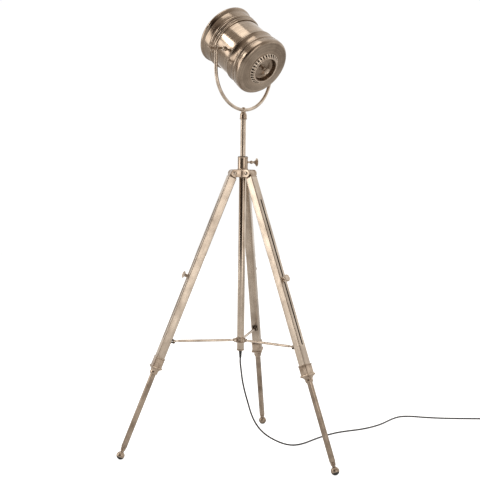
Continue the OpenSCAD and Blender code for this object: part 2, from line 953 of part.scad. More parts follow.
module brace_collar() {
    h = 18;
    lug_t = 3;
    lug_in = brace_eye_t / 2 + side_gap;
    color(nickel)
        difference() {
            union() {
                round_bar(brace_collar_r, brace_collar_z - h / 2, brace_collar_z + h / 2);
                bead(brace_collar_r - 0.6, brace_collar_z + h / 2 - 2, 2);
                bead(brace_collar_r - 0.6, brace_collar_z - h / 2 + 2, 2);
                for (a = leg_angles)
                    rotate([0, 0, a])
                        for (side = [-1, 1])
                            translate([0, side * (lug_in + lug_t / 2), brace_collar_z]) {
                                translate([brace_pin_r, 0, 0])
                                    cross_bar(6, lug_t);
                                translate([brace_collar_r - 3, -lug_t / 2, -6])
                                    cube([brace_pin_r - brace_collar_r + 3, lug_t, 12]);
                            }
            }
            round_bar(column_d / 2 + run_fit, brace_collar_z - h, brace_collar_z + h);
            for (a = leg_angles)
                rotate([0, 0, a])
                    translate([brace_pin_r, 0, brace_collar_z]) {
                        cross_bar(brace_pin_d / 2 + run_fit, 40);
                        translate([-brace_eye_r - 0.6, -lug_in, -h])
                            cube([2 * brace_eye_r, 2 * lug_in, 2 * h]);
                    }
        }
}

module brace_collar_pins() {
    len = brace_eye_t + 2 * side_gap + 6;
    color(pale_nickel)
        for (a = leg_angles)
            rotate([0, 0, a])
                translate([brace_pin_r, 0, brace_collar_z]) {
                    cross_bar(brace_pin_d / 2, len);
                    for (side = [-1, 1])
                        translate([0, side * (len / 2 + 0.6), 0])
                            cross_bar(brace_pin_d / 2 + 1.2, 1.2);
                }
}

module brace(angle) {
    color(pale_nickel)
        rotate([0, 0, angle])
            translate([brace_pin_r, 0, brace_collar_z])
                rotate([0, -brace_slope, 0]) {
                    difference() {
                        union() {
                            for (x = [0, brace_len])
                                translate([x, 0, 0])
                                    cross_bar(brace_eye_r, brace_eye_t);
                            translate([0, -brace_eye_t / 2, -3])
                                cube([brace_len, brace_eye_t, 6]);
                            translate([brace_blade, 0, 0])
                                rotate([0, 90, 0])
                                    cylinder(d = brace_d, h = brace_len - 2 * brace_blade);
                            for (x = [brace_blade, brace_len - brace_blade])
                                translate([x, 0, 0])
                                    sphere(d = brace_d, $fn = 32);
                        }
                        cross_bar(brace_pin_d / 2 + run_fit, 40);
                        translate([brace_len, 0, 0])
                            cross_bar(brace_pin_d / 2 + run_fit, 40);
                    }
                    translate([brace_len, 0, 0]) {
                        cross_bar(brace_pin_d / 2, brace_eye_t + 9);
                        for (side = [-1, 1])
                            translate([0, side * (brace_eye_t / 2 + 4.6), 0])
                                cross_bar(brace_pin_d / 2 + 1.4, 1.2);
                    }
                }
}

// ---------- lead ----------

function unit(v) = v / norm(v);
// Direction of the path at point i
function heading(p, i) = unit(p[min(i + 1, len(p) - 1)] - p[max(i - 1, 0)]);
// Smooth path: each span is a Catmull-Rom curve cut into the given number of steps
function smooth(a, b, c, d, t) =
    0.5 * (2 * b + (c - a) * t + (2 * a - 5 * b + 4 * c - d) * t * t
        + (3 * b - a - 3 * c + d) * t * t * t);
function fine(p, steps) = concat(
    [for (i = [0:len(p) - 2], k = [0:steps - 1])
        smooth(p[max(i - 1, 0)], p[i], p[i + 1], p[min(i + 2, len(p) - 1)], k / steps)],
    [p[len(p) - 1]]);
// Side vectors carried along the path without twist
function sides(p, i, s) = let (h = heading(p, i)) unit(s - h * (s * h));
function carry(p, i, s) = i >= len(p) ? [] : let (n = sides(p, i, s)) concat([n], carry(p, i + 1, n));

module tube(points, r, steps, first_side) {
    n = 8;
    p = fine(points, steps);
    s = carry(p, 0, first_side);
    verts = [for (i = [0:len(p) - 1], k = [0:n - 1])
        let (h = heading(p, i), b = cross(h, s[i]))
            p[i] + r * (cos(360 * k / n) * s[i] + sin(360 * k / n) * b)];
    walls = [for (i = [0:len(p) - 2], k = [0:n - 1])
        [i * n + k, i * n + (k + 1) % n, (i + 1) * n + (k + 1) % n, (i + 1) * n + k]];
    start = [for (k = [n - 1:-1:0]) k];
    end = [for (k = [0:n - 1]) (len(p) - 1) * n + k];
    polyhedron(points = verts, faces = concat([start], walls, [end]), convexity = 10);
}

module cord() {
    color(rubber)
        tube(lead_points, cord_r, 2, [1, 0, 0]);
}

module cord_tail() {
    color(rubber)
        tube(tail_points, cord_r, 2, [0, 0, 1]);
}

module cord_coil() {
    color(rubber)
        translate([coil_x, coil_y, 0])
            rotate_extrude()
                translate([coil_turn_r - coil_half_w, 0])
                    square([2 * coil_half_w, coil_h]);
}

module cord_tie() {
    gap = 0.8;
    wall = 1.6;
    wide = 2 * coil_half_w + 2 * (gap + wall);
    color(dark_metal)
        translate([coil_x - coil_turn_r, coil_y, 0])
            difference() {
                translate([-wide / 2, -5, 0])
                    cube([wide, 10, coil_h + wall]);
                translate([-coil_half_w - gap, -6, -1])
                    cube([2 * coil_half_w + 2 * gap, 12, coil_h + 1]);
            }
}

module plug() {
    body_len = 34;
    body_r = 11;
    pin_gap = 12.7;
    lie = body_r;
    color(rubber)
        translate([plug_x, plug_y, 0])
            rotate([90, 0, 180]) {
                translate([0, cord_r, 0])
                    cylinder(r1 = cord_r + 0.8, r2 = cord_r + 3, h = 24);
                translate([0, lie * 0.75, 24])
                    intersection() {
                        cylinder(r = body_r + 2, h = body_len);
                        translate([-body_r - 2, -lie * 0.75, 0])
                            cube([2 * body_r + 4, 2 * lie * 0.75, body_len]);
                    }
                for (side = [-1, 1])
                    translate([side * pin_gap / 2 - 0.8, lie * 0.75 - 3, 24 + body_len - 1])
                        cube([1.6, 6, 18]);
            }
}

hub_casting();
leg_bolts();
mast_bush();
column_tube();
column_end_cap();
cord_gland();
mast_tube();
thumb_screw();
yoke_base();
yoke_bolt();
yoke();
yoke_ball_nut();
head_barrel();
front_bezel();
lens_glass();
reflector();
lampholder();
lamp_bulb();
rear_cap();
vent_ring();
rear_cup();
rear_knob();
pivot_studs();
tilt_knob(-1);  // tilt_knob_left
tilt_knob(1);  // tilt_knob_right
brace_collar();
brace_collar_pins();
brace(back);  // brace_back
brace(left);  // brace_left
brace(right);  // brace_right
leg_top(back);  // leg_top_back
leg_top(left);  // leg_top_left
leg_top(right);  // leg_top_right
upper_leg(back);  // upper_leg_back
upper_leg(left);  // upper_leg_left
upper_leg(right);  // upper_leg_right
brace_lug(back);  // brace_lug_back
brace_lug(left);  // brace_lug_left
brace_lug(right);  // brace_lug_right
ferrule(back);  // ferrule_back
ferrule(left);  // ferrule_left
ferrule(right);  // ferrule_right
slider(back);  // slider_back
slider(left);  // slider_left
slider(right);  // slider_right
lower_leg(back);  // lower_leg_back
lower_leg(left);  // lower_leg_left
lower_leg(right);  // lower_leg_right
foot_glide(back);  // foot_glide_back
foot_glide(left);  // foot_glide_left
foot_glide(right);  // foot_glide_right
leg_knob(back);  // leg_knob_back
leg_knob(left);  // leg_knob_left
leg_knob(right);  // leg_knob_right
cord();
cord_coil();
cord_tie();
cord_tail();
plug();
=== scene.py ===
import json
from math import atan2, cos, degrees, hypot, pi, radians, sin

import bmesh
import bpy
from bpy.props import FloatProperty, FloatVectorProperty, IntProperty, PointerProperty
from mathutils import Matrix, Vector


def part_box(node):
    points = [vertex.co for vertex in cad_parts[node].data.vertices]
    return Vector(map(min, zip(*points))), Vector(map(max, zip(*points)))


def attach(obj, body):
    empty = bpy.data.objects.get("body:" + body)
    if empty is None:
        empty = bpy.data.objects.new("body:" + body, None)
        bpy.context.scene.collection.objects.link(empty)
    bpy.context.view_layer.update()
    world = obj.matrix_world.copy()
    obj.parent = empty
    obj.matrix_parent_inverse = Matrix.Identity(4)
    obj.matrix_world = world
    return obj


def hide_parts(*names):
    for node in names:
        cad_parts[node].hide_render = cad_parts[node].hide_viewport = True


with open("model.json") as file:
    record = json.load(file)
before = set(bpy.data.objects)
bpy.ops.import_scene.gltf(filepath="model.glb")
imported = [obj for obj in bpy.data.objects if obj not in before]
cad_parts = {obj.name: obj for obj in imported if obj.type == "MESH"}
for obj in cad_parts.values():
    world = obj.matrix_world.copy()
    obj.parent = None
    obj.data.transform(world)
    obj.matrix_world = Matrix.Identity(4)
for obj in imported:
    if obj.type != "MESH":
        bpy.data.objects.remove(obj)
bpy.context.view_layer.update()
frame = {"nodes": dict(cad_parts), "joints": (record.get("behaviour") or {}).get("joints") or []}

bl_info = {
    "name": "Tripod Spotlight Lamp",
    "version": (1, 0, 0),
    "blender": (4, 5, 0),
    "location": "View3D > Sidebar > Lamp",
    "description": "Builds the finished surfaces of a nickel tripod spotlight around its fixed frame",
    "category": "Object",
}

MM = 0.001
SIDES = {"back": 90.0, "left": 210.0, "right": 330.0}
JOINTS = {j["name"]: j for j in frame["joints"]}

# ---------------------------------------------------------------- places from the frame

LEG_PIVOT = Vector(JOINTS["leg_back_fold"]["pos_m"])
LEG_PIVOT_R = LEG_PIVOT.y / MM
LEG_PIVOT_Z = LEG_PIVOT.z / MM
LEG_DOWN = Vector(JOINTS["lower_leg_back_slide"]["axis"])
SPLAY = degrees(atan2(LEG_DOWN.y, -LEG_DOWN.z))
TILT_Z = JOINTS["tilt"]["pos_m"][2] / MM
TILT_AXIS = Vector(JOINTS["tilt"]["axis"])
YOKE_TURN = degrees(atan2(TILT_AXIS.y, TILT_AXIS.x))
HEAD_TILT = 35.0
MAST_TOP = JOINTS["pan"]["pos_m"][2] / MM


def turned(angle, axis):
    return Matrix.Rotation(radians(angle), 4, axis)


def moved(x, y, z):
    return Matrix.Translation((x, y, z))


def leg_place(side):
    """Millimetre frame of a leg: +X out of its outer face, -Z down the leg, top bolt at the origin."""
    return turned(SIDES[side], "Z") @ moved(LEG_PIVOT_R, 0, LEG_PIVOT_Z) @ turned(-SPLAY, "Y")


YOKE_PLACE = turned(YOKE_TURN, "Z")
TILT_PLACE = YOKE_PLACE @ moved(0, 0, TILT_Z)
# Head frame: +Z out of the lens, +X along the tilt axis
HEAD_PLACE = TILT_PLACE @ turned(HEAD_TILT - 90, "X")


# ---------------------------------------------------------------- settings

class LampFinish(bpy.types.PropertyGroup):
    """Colours and wear of the lamp's finishes."""

    nickel: FloatVectorProperty(
        name="Nickel", description="Base colour of the antique nickel plate",
        subtype="COLOR", size=3, default=(0.56, 0.45, 0.35), min=0, max=1)
    tarnish: FloatVectorProperty(
        name="Tarnish", description="Colour that the plate turns to where it has aged",
        subtype="COLOR", size=3, default=(0.10, 0.058, 0.033), min=0, max=1)
    bright: FloatVectorProperty(
        name="Bright nickel", description="Colour of the polished tubes and turned parts",
        subtype="COLOR", size=3, default=(0.70, 0.59, 0.48), min=0, max=1)
    lead: FloatVectorProperty(
        name="Lead", description="Colour of the mains lead",
        subtype="COLOR", size=3, default=(0.022, 0.020, 0.019), min=0, max=1)
    patina: FloatProperty(
        name="Patina", description="How much of the plate has tarnished",
        subtype="FACTOR", default=0.68, min=0, max=1)


class LampSizes(bpy.types.PropertyGroup):
    """Sizes of the details that the frame leaves plain."""

    vents: IntProperty(
        name="Vent slots", description="Number of slots in the rear vent ring",
        default=30, min=12, max=60)
    vent_rib: FloatProperty(
        name="Vent rib", description="Width of a rib between two vent slots",
        subtype="DISTANCE", unit="LENGTH", default=0.0058, min=0.002, max=0.01)
    tube_corner: FloatProperty(
        name="Leg corner", description="Outer corner radius of the square leg tube",
        subtype="DISTANCE", unit="LENGTH", default=0.0028, min=0.0005, max=0.006)
    lead_diameter: FloatProperty(
        name="Lead diameter", description="Diameter of the mains lead",
        subtype="DISTANCE", unit="LENGTH", default=0.006, min=0.004, max=0.008)


class LampStage(bpy.types.PropertyGroup):
    """Camera, floor and studio light."""

    lens: FloatProperty(
        name="Lens", description="Focal length of the camera on a 36 mm sensor",
        default=78.98, min=20, max=200)
    eye: FloatVectorProperty(
        name="Eye", description="Where the camera stands",
        subtype="XYZ", unit="LENGTH", size=3, default=(0.797, -3.659, 0.996))
    aim: FloatVectorProperty(
        name="Aim", description="Direction in which the camera looks",
        subtype="DIRECTION", size=3, default=(-0.2141, 0.9748, -0.0623))
    roll: FloatProperty(
        name="Roll", description="Turn of the camera about its line of sight",
        subtype="ANGLE", unit="ROTATION", default=radians(0.73))
    floor: FloatVectorProperty(
        name="Floor", description="Colour of the floor",
        subtype="COLOR", size=3, default=(0.55, 0.55, 0.545), min=0, max=1)
    floor_glow: FloatProperty(
        name="Floor glow", description="Light that comes up through the pale floor",
        default=0.92, min=0, max=2)


# ---------------------------------------------------------------- mesh helpers

def arc(cr, cz, radius, start, end, steps, high=None):
    """Points of an arc in a profile, from one angle to another; high gives it a second radius."""
    other = radius if high is None else high
    turns = [radians(start + (end - start) * i / steps) for i in range(steps + 1)]
    return [(cr + radius * cos(t), cz + other * sin(t)) for t in turns]


FILLET_STEPS = 3


def rounded(corners):
    """Profile from (r, z) or (r, z, radius) corners, each with its own fillet."""
    points = []
    count = len(corners)
    for i, corner in enumerate(corners):
        here = Vector(corner[:2])
        before = Vector(corners[i - 1][:2])
        after = Vector(corners[(i + 1) % count][:2])
        to_before, to_after = before - here, after - here
        if len(corner) < 3 or corner[2] <= 0 or min(to_before.length, to_after.length) < 1e-6:
            points.append(tuple(here))
            continue
        reach = min(corner[2], 0.45 * to_before.length, 0.45 * to_after.length)
        start = here + to_before.normalized() * reach
        end = here + to_after.normalized() * reach
        for k in range(FILLET_STEPS + 1):
            t = k / FILLET_STEPS
            points.append(tuple((1 - t) ** 2 * start + 2 * t * (1 - t) * here + t * t * end))
    return points


def linked(name, data):
    """New object in the scene."""
    piece = bpy.data.objects.new(name, data)
    bpy.context.scene.collection.objects.link(piece)
    return piece


def meshed(name, bm):
    """New object in the scene from a bmesh, which is freed."""
    mesh = bpy.data.meshes.new(name)
    bm.to_mesh(mesh)
    bm.free()
    return linked(name, mesh)


def finish_mesh(name, bm, place, grain, angle=38):
    """Turns a millimetre bmesh into a smooth piece at its place in the row frame, in metres."""
    bmesh.ops.recalc_face_normals(bm, faces=bm.faces)
    bm.transform(Matrix.Scale(MM, 4) @ place)
    piece = meshed(name, bm)
    layer = piece.data.attributes.new("grain", "FLOAT_VECTOR", "POINT")
    for i, value in enumerate(grain):
        layer.data[i].vector = value
    piece.data.shade_smooth()
    piece.data.set_sharp_from_angle(angle=radians(angle))
    return piece


def skin(bm, row, after):
    """Quads between two closed rings of vertices."""
    for k in range(len(row)):
        k2 = (k + 1) % len(row)
        bm.faces.new((row[k], row[k2], after[k2], after[k]))


def spin(bm, profile, turns, grain, place=Matrix.Identity(4)):
    """Revolves a closed (r, z) profile about Z into bm, with ring and run coordinates for the grain."""
    run = 0.0
    rows = []
    for i, (r, z) in enumerate(profile):
        if i:
            run += hypot(r - profile[i - 1][0], z - profile[i - 1][1])
        row = []
        for k in range(turns if abs(r) >= 1e-6 else 1):
            a = 2 * pi * k / turns
            row.append(bm.verts.new(place @ Vector((r * cos(a), r * sin(a), z))))
            grain.append(Vector((r * cos(a), r * sin(a), run)) * MM)
        rows.append(row)
    for row, after in zip(rows, rows[1:] + rows[:1]):
        if len(row) == len(after):
            if len(row) > 1:
                skin(bm, row, after)
            continue
        for k in range(turns):
            k2 = (k + 1) % turns
            if len(row) == 1:
                bm.faces.new((row[0], after[k2], after[k]))
            else:
                bm.faces.new((row[k], row[k2], after[0]))


def lathe(name, profiles, place, turns):
    """One turned piece from one or more closed profiles about the same axis."""
    bm = bmesh.new()
    grain = []
    for profile in profiles:
        spin(bm, profile, turns, grain)
    return finish_mesh(name, bm, place, grain)


CORNER_STEPS = 5


def square_ring(half, corner):
    """Rounded square around the origin, from the middle of its +X side."""
    corner = min(corner, half - 0.05)
    flat = half - corner
    ring = []
    for quarter, (cx, cy) in enumerate(((flat, flat), (-flat, flat), (-flat, -flat), (flat, -flat))):
        for k in range(CORNER_STEPS + 1):
            a = pi / 2 * (quarter + k / CORNER_STEPS)
            ring.append((cx + corner * cos(a), cy + corner * sin(a)))
    return ring


def loft(name, sections, place):
    """Square-to-round piece from a closed list of (depth, half width, corner radius) sections."""
    bm = bmesh.new()
    grain = []
    rows = []
    run = 0.0
    for i, (depth, half, corner) in enumerate(sections):
        if i:
            run += hypot(depth - sections[i - 1][0], half - sections[i - 1][1])
        row = []
        for x, y in square_ring(half, corner):
            row.append(bm.verts.new((x, y, -depth)))
            grain.append(Vector((x, y, run)) * MM)
        rows.append(row)
    for row, after in zip(rows, rows[1:] + rows[:1]):
        skin(bm, row, after)
    return finish_mesh(name, bm, place, grain)


def slotted_tube(name, half, wall, corner, levels, slot, place):
    """Square tube down -Z with a slot in its +X side between the second and third levels."""
    bm = bmesh.new()
    grain = []

    def rows_at(half_width, radius):
        ring = square_ring(half_width, radius)
        ring = [(half_width, slot / 2), *ring, (half_width, -slot / 2)]
        rows = []
        for depth in levels:
            rows.append([bm.verts.new((x, y, -depth)) for x, y in ring])
            grain.extend(Vector((x, y, depth)) * MM for x, y in ring)
        return rows

    outer = rows_at(half, corner)
    inner = rows_at(half - wall, max(corner - wall, 0.4))
    last = len(outer[0]) - 1
    for i in range(len(levels) - 1):
        for k in range(last + 1):
            k2 = (k + 1) % (last + 1)
            if i == 1 and k == last:
                continue
            bm.faces.new((outer[i][k], outer[i][k2], outer[i + 1][k2], outer[i + 1][k]))
            bm.faces.new((inner[i][k2], inner[i][k], inner[i + 1][k], inner[i + 1][k2]))
    for i in (0, len(levels) - 1):
        skin(bm, outer[i], inner[i])
    for k in (0, last):
        bm.faces.new((outer[1][k], outer[2][k], inner[2][k], inner[1][k]))
    for i in (1, 2):
        bm.faces.new((outer[i][last], outer[i][0], inner[i][0], inner[i][last]))
    return finish_mesh(name, bm, place, grain)


def trumpet(shank, neck, bead, head, start=-3.0):
    """Profile of a turned clamp screw: shank, round bead, flared head with a dished face."""
    waist = neck + 1.6 * bead
    tip = waist + head * 1.05
    profile = [(0, start), (shank, start), (shank, neck - 0.4 * bead)]
    profile += arc(0, neck + 0.8 * bead, bead, -52, 52, 12)
    for k in range(11):
        t = k / 10
        profile.append((shank + (head - shank) * t ** 2.3, waist - 0.6 + (tip - 1.6 - waist) * t))
    profile += [(head, tip - 0.8), (head - 0.5, tip), (head - 1.4, tip)]
    for k in range(1, 6):
        t = k / 5
        profile.append(((head - 1.4) * (1 - t), tip - 0.42 * head * (1 - (1 - t) ** 2)))
    return profile


def baked(piece):
    """Applies a piece's modifiers to its mesh and removes them."""
    graph = bpy.context.evaluated_depsgraph_get()
    mesh = bpy.data.meshes.new_from_object(piece.evaluated_get(graph))
    piece.modifiers.clear()
    piece.data = mesh


def wear(piece, look, body, slot, *nodes):
    """Gives a piece its finish and its place on the frame."""
    piece.data.materials.clear()
    piece.data.materials.append(finishes()[look])
    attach(piece, body)
    if nodes:
        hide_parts(*nodes)


def lathed(name, profile, place, turns, look, body, slot, *nodes):
    """Turned piece from one profile, in its finish and at its place on the frame."""
    wear(lathe(name, [profile], place, turns), look, body, slot, *nodes)


def softened(name, node, voxel, rounds, look, body, slot):
    """Casting made from a CAD node: remeshed finely and relaxed, so that every edge has a fillet."""
    bm = bmesh.new()
    bm.from_mesh(frame["nodes"][node].data)
    bmesh.ops.remove_doubles(bm, verts=bm.verts, dist=2e-6)
    piece = meshed(name, bm)
    remesh = piece.modifiers.new("remesh", "REMESH")
    remesh.mode = "VOXEL"
    remesh.voxel_size = voxel * MM
    relax = piece.modifiers.new("relax", "SMOOTH")
    relax.factor = 0.5
    relax.iterations = rounds
    baked(piece)
    piece.data.shade_smooth()
    wear(piece, look, body, slot, node)


def dress(look, *nodes):
    """Gives CAD nodes that stay in view a better finish."""
    for node in nodes:
        obj = frame["nodes"][node]
        for slot in obj.material_slots:
            slot.material = finishes()[look]
        obj.data.shade_smooth()


# ---------------------------------------------------------------- shader groups

def new_group(name, inputs, outputs):
    """Empty shader node group, the sockets that it is given, and its output node.

    Inputs are (name, kind of socket, default) and outputs are (name, kind of socket).
    """
    group = bpy.data.node_groups.new(name, "ShaderNodeTree")
    for label, kind, default in inputs:
        socket = group.interface.new_socket(label, in_out="INPUT", socket_type="NodeSocket" + kind)
        if default is not None:
            socket.default_value = default
    for label, kind in outputs:
        group.interface.new_socket(label, in_out="OUTPUT", socket_type="NodeSocket" + kind)
    return group, group.nodes.new("NodeGroupInput").outputs, group.nodes.new("NodeGroupOutput")


def join(tree, node, sources):
    """Gives sockets of a node their links or their plain values."""
    for key, source in sources.items():
        socket = node.inputs[key]
        if isinstance(source, bpy.types.NodeSocket):
            tree.links.new(source, socket)
        else:
            socket.default_value = source


def add(tree, kind, sources=None, **values):
    """Adds a node, sets its properties, and joins the sources given by socket."""
    node = tree.nodes.new(kind)
    for key, value in values.items():
        setattr(node, key, value)
    join(tree, node, sources or {})
    return node


def maths(tree, operation, *terms, clamp=False):
    """Result of a math node."""
    node = add(tree, "ShaderNodeMath", dict(enumerate(terms)), operation=operation, use_clamp=clamp)
    return node.outputs[0]


def noise(tree, vector, scale, detail, rough=0.5):
    """Value of a noise texture."""
    return add(tree, "ShaderNodeTexNoise", {
        "Vector": vector, "Scale": scale, "Detail": detail, "Roughness": rough}).outputs["Fac"]


def mixed(tree, share, first, second, blend="MIX"):
    """Colour mixed from two colours."""
    node = add(tree, "ShaderNodeMix", {0: share, 6: first, 7: second}, data_type="RGBA", blend_type=blend)
    return node.outputs[2]


def ramp(tree, source, stops):
    """Colour ramp with (position, grey or colour) stops."""
    node = add(tree, "ShaderNodeValToRGB", {"Fac": source})
    band = node.color_ramp
    while len(band.elements) < len(stops):
        band.elements.new(0.5)
    for element, (position, value) in zip(band.elements, stops):
        element.position = position
        element.color = (*value, 1) if hasattr(value, "__len__") else (value, value, value, 1)
    return node.outputs["Color"]


def patina_group():
    """Cloudy tarnish: fresh plate turns to its aged colour in patches and in fine specks."""
    group, given, out = new_group(
        "Patina",
        [("Vector", "Vector", None), ("Fresh", "Color", (0.6, 0.5, 0.4, 1)),
         ("Aged", "Color", (0.2, 0.14, 0.09, 1)), ("Amount", "Float", 0.4),
         ("Patch Scale", "Float", 22.0), ("Gloss", "Float", 0.2)],
        [("Color", "Color"), ("Roughness", "Float")])
    vector, scale = given["Vector"], given["Patch Scale"]
    clouds = noise(group, vector, scale, 6.0, 0.62)
    specks = noise(group, vector, maths(group, "MULTIPLY", scale, 14.0), 3.0, 0.7)
    wide = ramp(group, clouds, [(0.36, 0.0), (0.68, 1.0)])
    small = ramp(group, specks, [(0.44, 0.0), (0.74, 0.55)])
    both = maths(group, "MAXIMUM", wide, small)
    mask = maths(group, "MULTIPLY", both, given["Amount"], clamp=True)
    spread = maths(group, "MULTIPLY_ADD", mask, 0.22, given["Gloss"])
    join(group, out, {
        "Color": mixed(group, mask, given["Fresh"], given["Aged"]),
        "Roughness": maths(group, "MULTIPLY_ADD", specks, 0.06, spread)})
    return group


def grain_group():
    """Fine parallel tool marks: stretched noise whose long direction is set by the two scales."""
    group, given, out = new_group(
        "Tool Marks",
        [("Vector", "Vector", None), ("Across", "Float", 2500.0),
         ("Along", "Float", 30.0), ("Turned", "Float", 0.0)],
        [("Height", "Float"), ("Streak", "Float")])
    axes = add(group, "ShaderNodeSeparateXYZ", {"Vector": given["Vector"]}).outputs
    flat, tall = (
        add(group, "ShaderNodeMapRange", {"Value": given["Turned"], 3: given[low], 4: given[high]}).outputs[0]
        for low, high in (("Across", "Along"), ("Along", "Across")))
    scaled = add(group, "ShaderNodeCombineXYZ", {
        axis: maths(group, "MULTIPLY", axes[axis], factor)
        for axis, factor in (("X", flat), ("Y", flat), ("Z", tall))}).outputs[0]
    broad = add(group, "ShaderNodeVectorMath", {0: scaled, 1: (0.12, 0.12, 0.12)}, operation="MULTIPLY")
    join(group, out, {
        "Height": noise(group, scaled, 1.0, 3.0, 0.65),
        "Streak": noise(group, broad.outputs[0], 1.0, 4.0, 0.6)})
    return group


def hollow_group():
    """Mask of grooves and corners where tarnish collects, from how far the surface turns inward."""
    group, given, out = new_group(
        "Hollows", [("Strength", "Float", 7.0)], [("Mask", "Float")])
    nearly_flat = 0.49
    shape = add(group, "ShaderNodeNewGeometry").outputs["Pointiness"]
    level = maths(group, "SUBTRACT", nearly_flat, shape)
    join(group, out, {"Mask": maths(group, "MULTIPLY", level, given["Strength"], clamp=True)})
    return group


GROUPS = {}


def grouped(tree, name, sources):
    """Outputs of a shared node group that is placed in a tree."""
    if not GROUPS:
        GROUPS.update(patina=patina_group(), marks=grain_group(), hollows=hollow_group())
    return add(tree, "ShaderNodeGroup", sources, node_tree=GROUPS[name]).outputs


def new_material(name):
    """Material, its node tree, its shader, and the object coordinates."""
    material = bpy.data.materials.new(name)
    material.use_nodes = True
    tree = material.node_tree
    vector = add(tree, "ShaderNodeTexCoord").outputs["Object"]
    return material, tree, tree.nodes["Principled BSDF"], vector


def rgba(colour):
    return (*colour, 1.0)


# Near-black painted shade for the inside of a square tube, seen through its slot
BORE_SHADE = (0.012, 0.009, 0.008)


def nickel(name, fresh, aged, amount, gloss, patch, marks=None, depth=0.0, streak=0.0, bore=0.0):
    """Plated metal with tarnish in patches.

    Marks are the (across, along, turned) values of tool marks in the piece's grain. They are depth
    metres deep, and streak says how far they darken the metal. Inside a square tube, nearer to its
    axis than bore metres, the colour is painted near-black as painted shade for the tube's dark inside.
    """
    material, tree, shader, vector = new_material(name)
    patina = grouped(tree, "patina", {
        "Vector": vector, "Fresh": rgba(fresh), "Aged": rgba(aged), "Amount": amount,
        "Patch Scale": patch, "Gloss": gloss})
    colour, rough = patina["Color"], patina["Roughness"]
    if marks:
        across, along, turned_marks = marks
        own = add(tree, "ShaderNodeAttribute", attribute_name="grain").outputs["Vector"]
        grain = grouped(tree, "marks", {
            "Vector": own, "Across": across, "Along": along, "Turned": turned_marks})
        bump = add(tree, "ShaderNodeBump", {
            "Height": grain["Height"], "Strength": 1.0, "Distance": depth})
        join(tree, shader, {"Normal": bump.outputs["Normal"]})
        lift = maths(tree, "MULTIPLY_ADD", grain["Streak"], 0.16, rough)
        rough = maths(tree, "SUBTRACT", lift, 0.08)
        if streak:
            tone = ramp(tree, grain["Streak"], [(0.3, 1 - streak), (0.7, 1.0)])
            colour = mixed(tree, 1.0, colour, tone, "MULTIPLY")
    colour = mixed(tree, grouped(tree, "hollows", {})["Mask"], colour, rgba(aged))
    # Painted shade: the inside of the tube is coloured near-black where shade would fall in it
    if bore:
        axes = add(tree, "ShaderNodeSeparateXYZ", {"Vector": own}).outputs
        away = [maths(tree, "ABSOLUTE", axes[axis]) for axis in "XY"]
        inside = maths(tree, "LESS_THAN", maths(tree, "MAXIMUM", *away), bore)
        colour = mixed(tree, inside, colour, rgba(BORE_SHADE))
    join(tree, shader, {"Base Color": colour, "Roughness": rough, "Metallic": 1.0})
    return material


def moulded(name, colour, rough, bump_scale=900.0, bump_depth=0.00005, dusty=0.25):
    """Rubber or plastic with a fine texture and a little dust in its colour."""
    material, tree, shader, vector = new_material(name)
    cloud = noise(tree, vector, 60.0, 5.0)
    lighter = tuple(min(1.0, c * (1 + 3 * dusty) + 0.01) for c in colour)
    bump = add(tree, "ShaderNodeBump", {
        "Height": noise(tree, vector, bump_scale, 3.0), "Strength": 0.6, "Distance": bump_depth})
    join(tree, shader, {
        "Base Color": ramp(tree, cloud, [(0.35, colour), (0.75, lighter)]),
        "Roughness": maths(tree, "MULTIPLY_ADD", cloud, 0.2, rough - 0.1),
        "Normal": bump.outputs["Normal"]})
    return material


def clear_glass(name, tint, rough):
    """Glass with faint smears in its polish."""
    material, tree, shader, vector = new_material(name)
    smear = noise(tree, vector, 18.0, 4.0)
    join(tree, shader, {
        "Base Color": rgba(tint), "Roughness": maths(tree, "MULTIPLY_ADD", smear, 0.08, rough),
        "Transmission Weight": 1.0, "IOR": 1.5})
    return material


FINISH = {}


def finishes():
    """Every finish, made once from the settings."""
    if FINISH:
        return FINISH
    look = bpy.context.scene.lamp_finish
    base, aged, bright = tuple(look.nickel), tuple(look.tarnish), tuple(look.bright)
    amount = look.patina
    drawn = (1500.0, 12.0, 0.0)
    FINISH.update(
        cast=nickel("cast_nickel", base, aged, amount, 0.17, 40.0),
        turned=nickel(
            "turned_nickel", bright, aged, amount * 0.7, 0.16, 30.0, (1800.0, 18.0, 1.0), 0.000012),
        spun=nickel(
            "spun_nickel", base, aged, amount * 0.8, 0.11, 9.0, (900.0, 7.0, 1.0), 0.00002, 0.5),
        brushed=nickel(
            "brushed_nickel", bright, aged, amount * 0.55, 0.22, 14.0, (2200.0, 22.0, 0.0), 0.00003,
            0.3, 0.0136),
        tube=nickel("polished_tube", bright, aged, amount * 0.55, 0.09, 16.0, drawn, 0.000008, 0.2),
        satin=nickel("satin_tube", base, aged, amount, 0.2, 18.0, drawn, 0.000012, 0.35),
        mast=nickel("satin_mast", bright, aged, amount * 0.5, 0.3, 16.0, drawn, 0.00001, 0.2),
        rod=nickel("polished_rod", bright, aged, amount * 0.8, 0.17, 26.0),
        dark=nickel("blackened_steel", (0.10, 0.075, 0.055), (0.04, 0.028, 0.02), 0.7, 0.36, 50.0),
        mirror=nickel("reflector_mirror", (0.9, 0.9, 0.9), (0.6, 0.6, 0.6), 0.1, 0.06, 10.0),
        rubber=moulded("black_rubber", (0.018, 0.017, 0.016), 0.62),
        nylon=moulded("black_nylon", (0.016, 0.016, 0.016), 0.42),
        bakelite=moulded("black_bakelite", (0.012, 0.010, 0.009), 0.28, 300.0, 0.00002),
        lead=moulded("lead_sheath", tuple(look.lead), 0.5, 1400.0, 0.00004, 0.5),
        glass=clear_glass("lens_glass", (0.97, 0.99, 0.99), 0.0),
        lamp=clear_glass("opal_lamp_glass", (0.95, 0.93, 0.88), 0.45),
    )
    return FINISH


# ---------------------------------------------------------------- stage

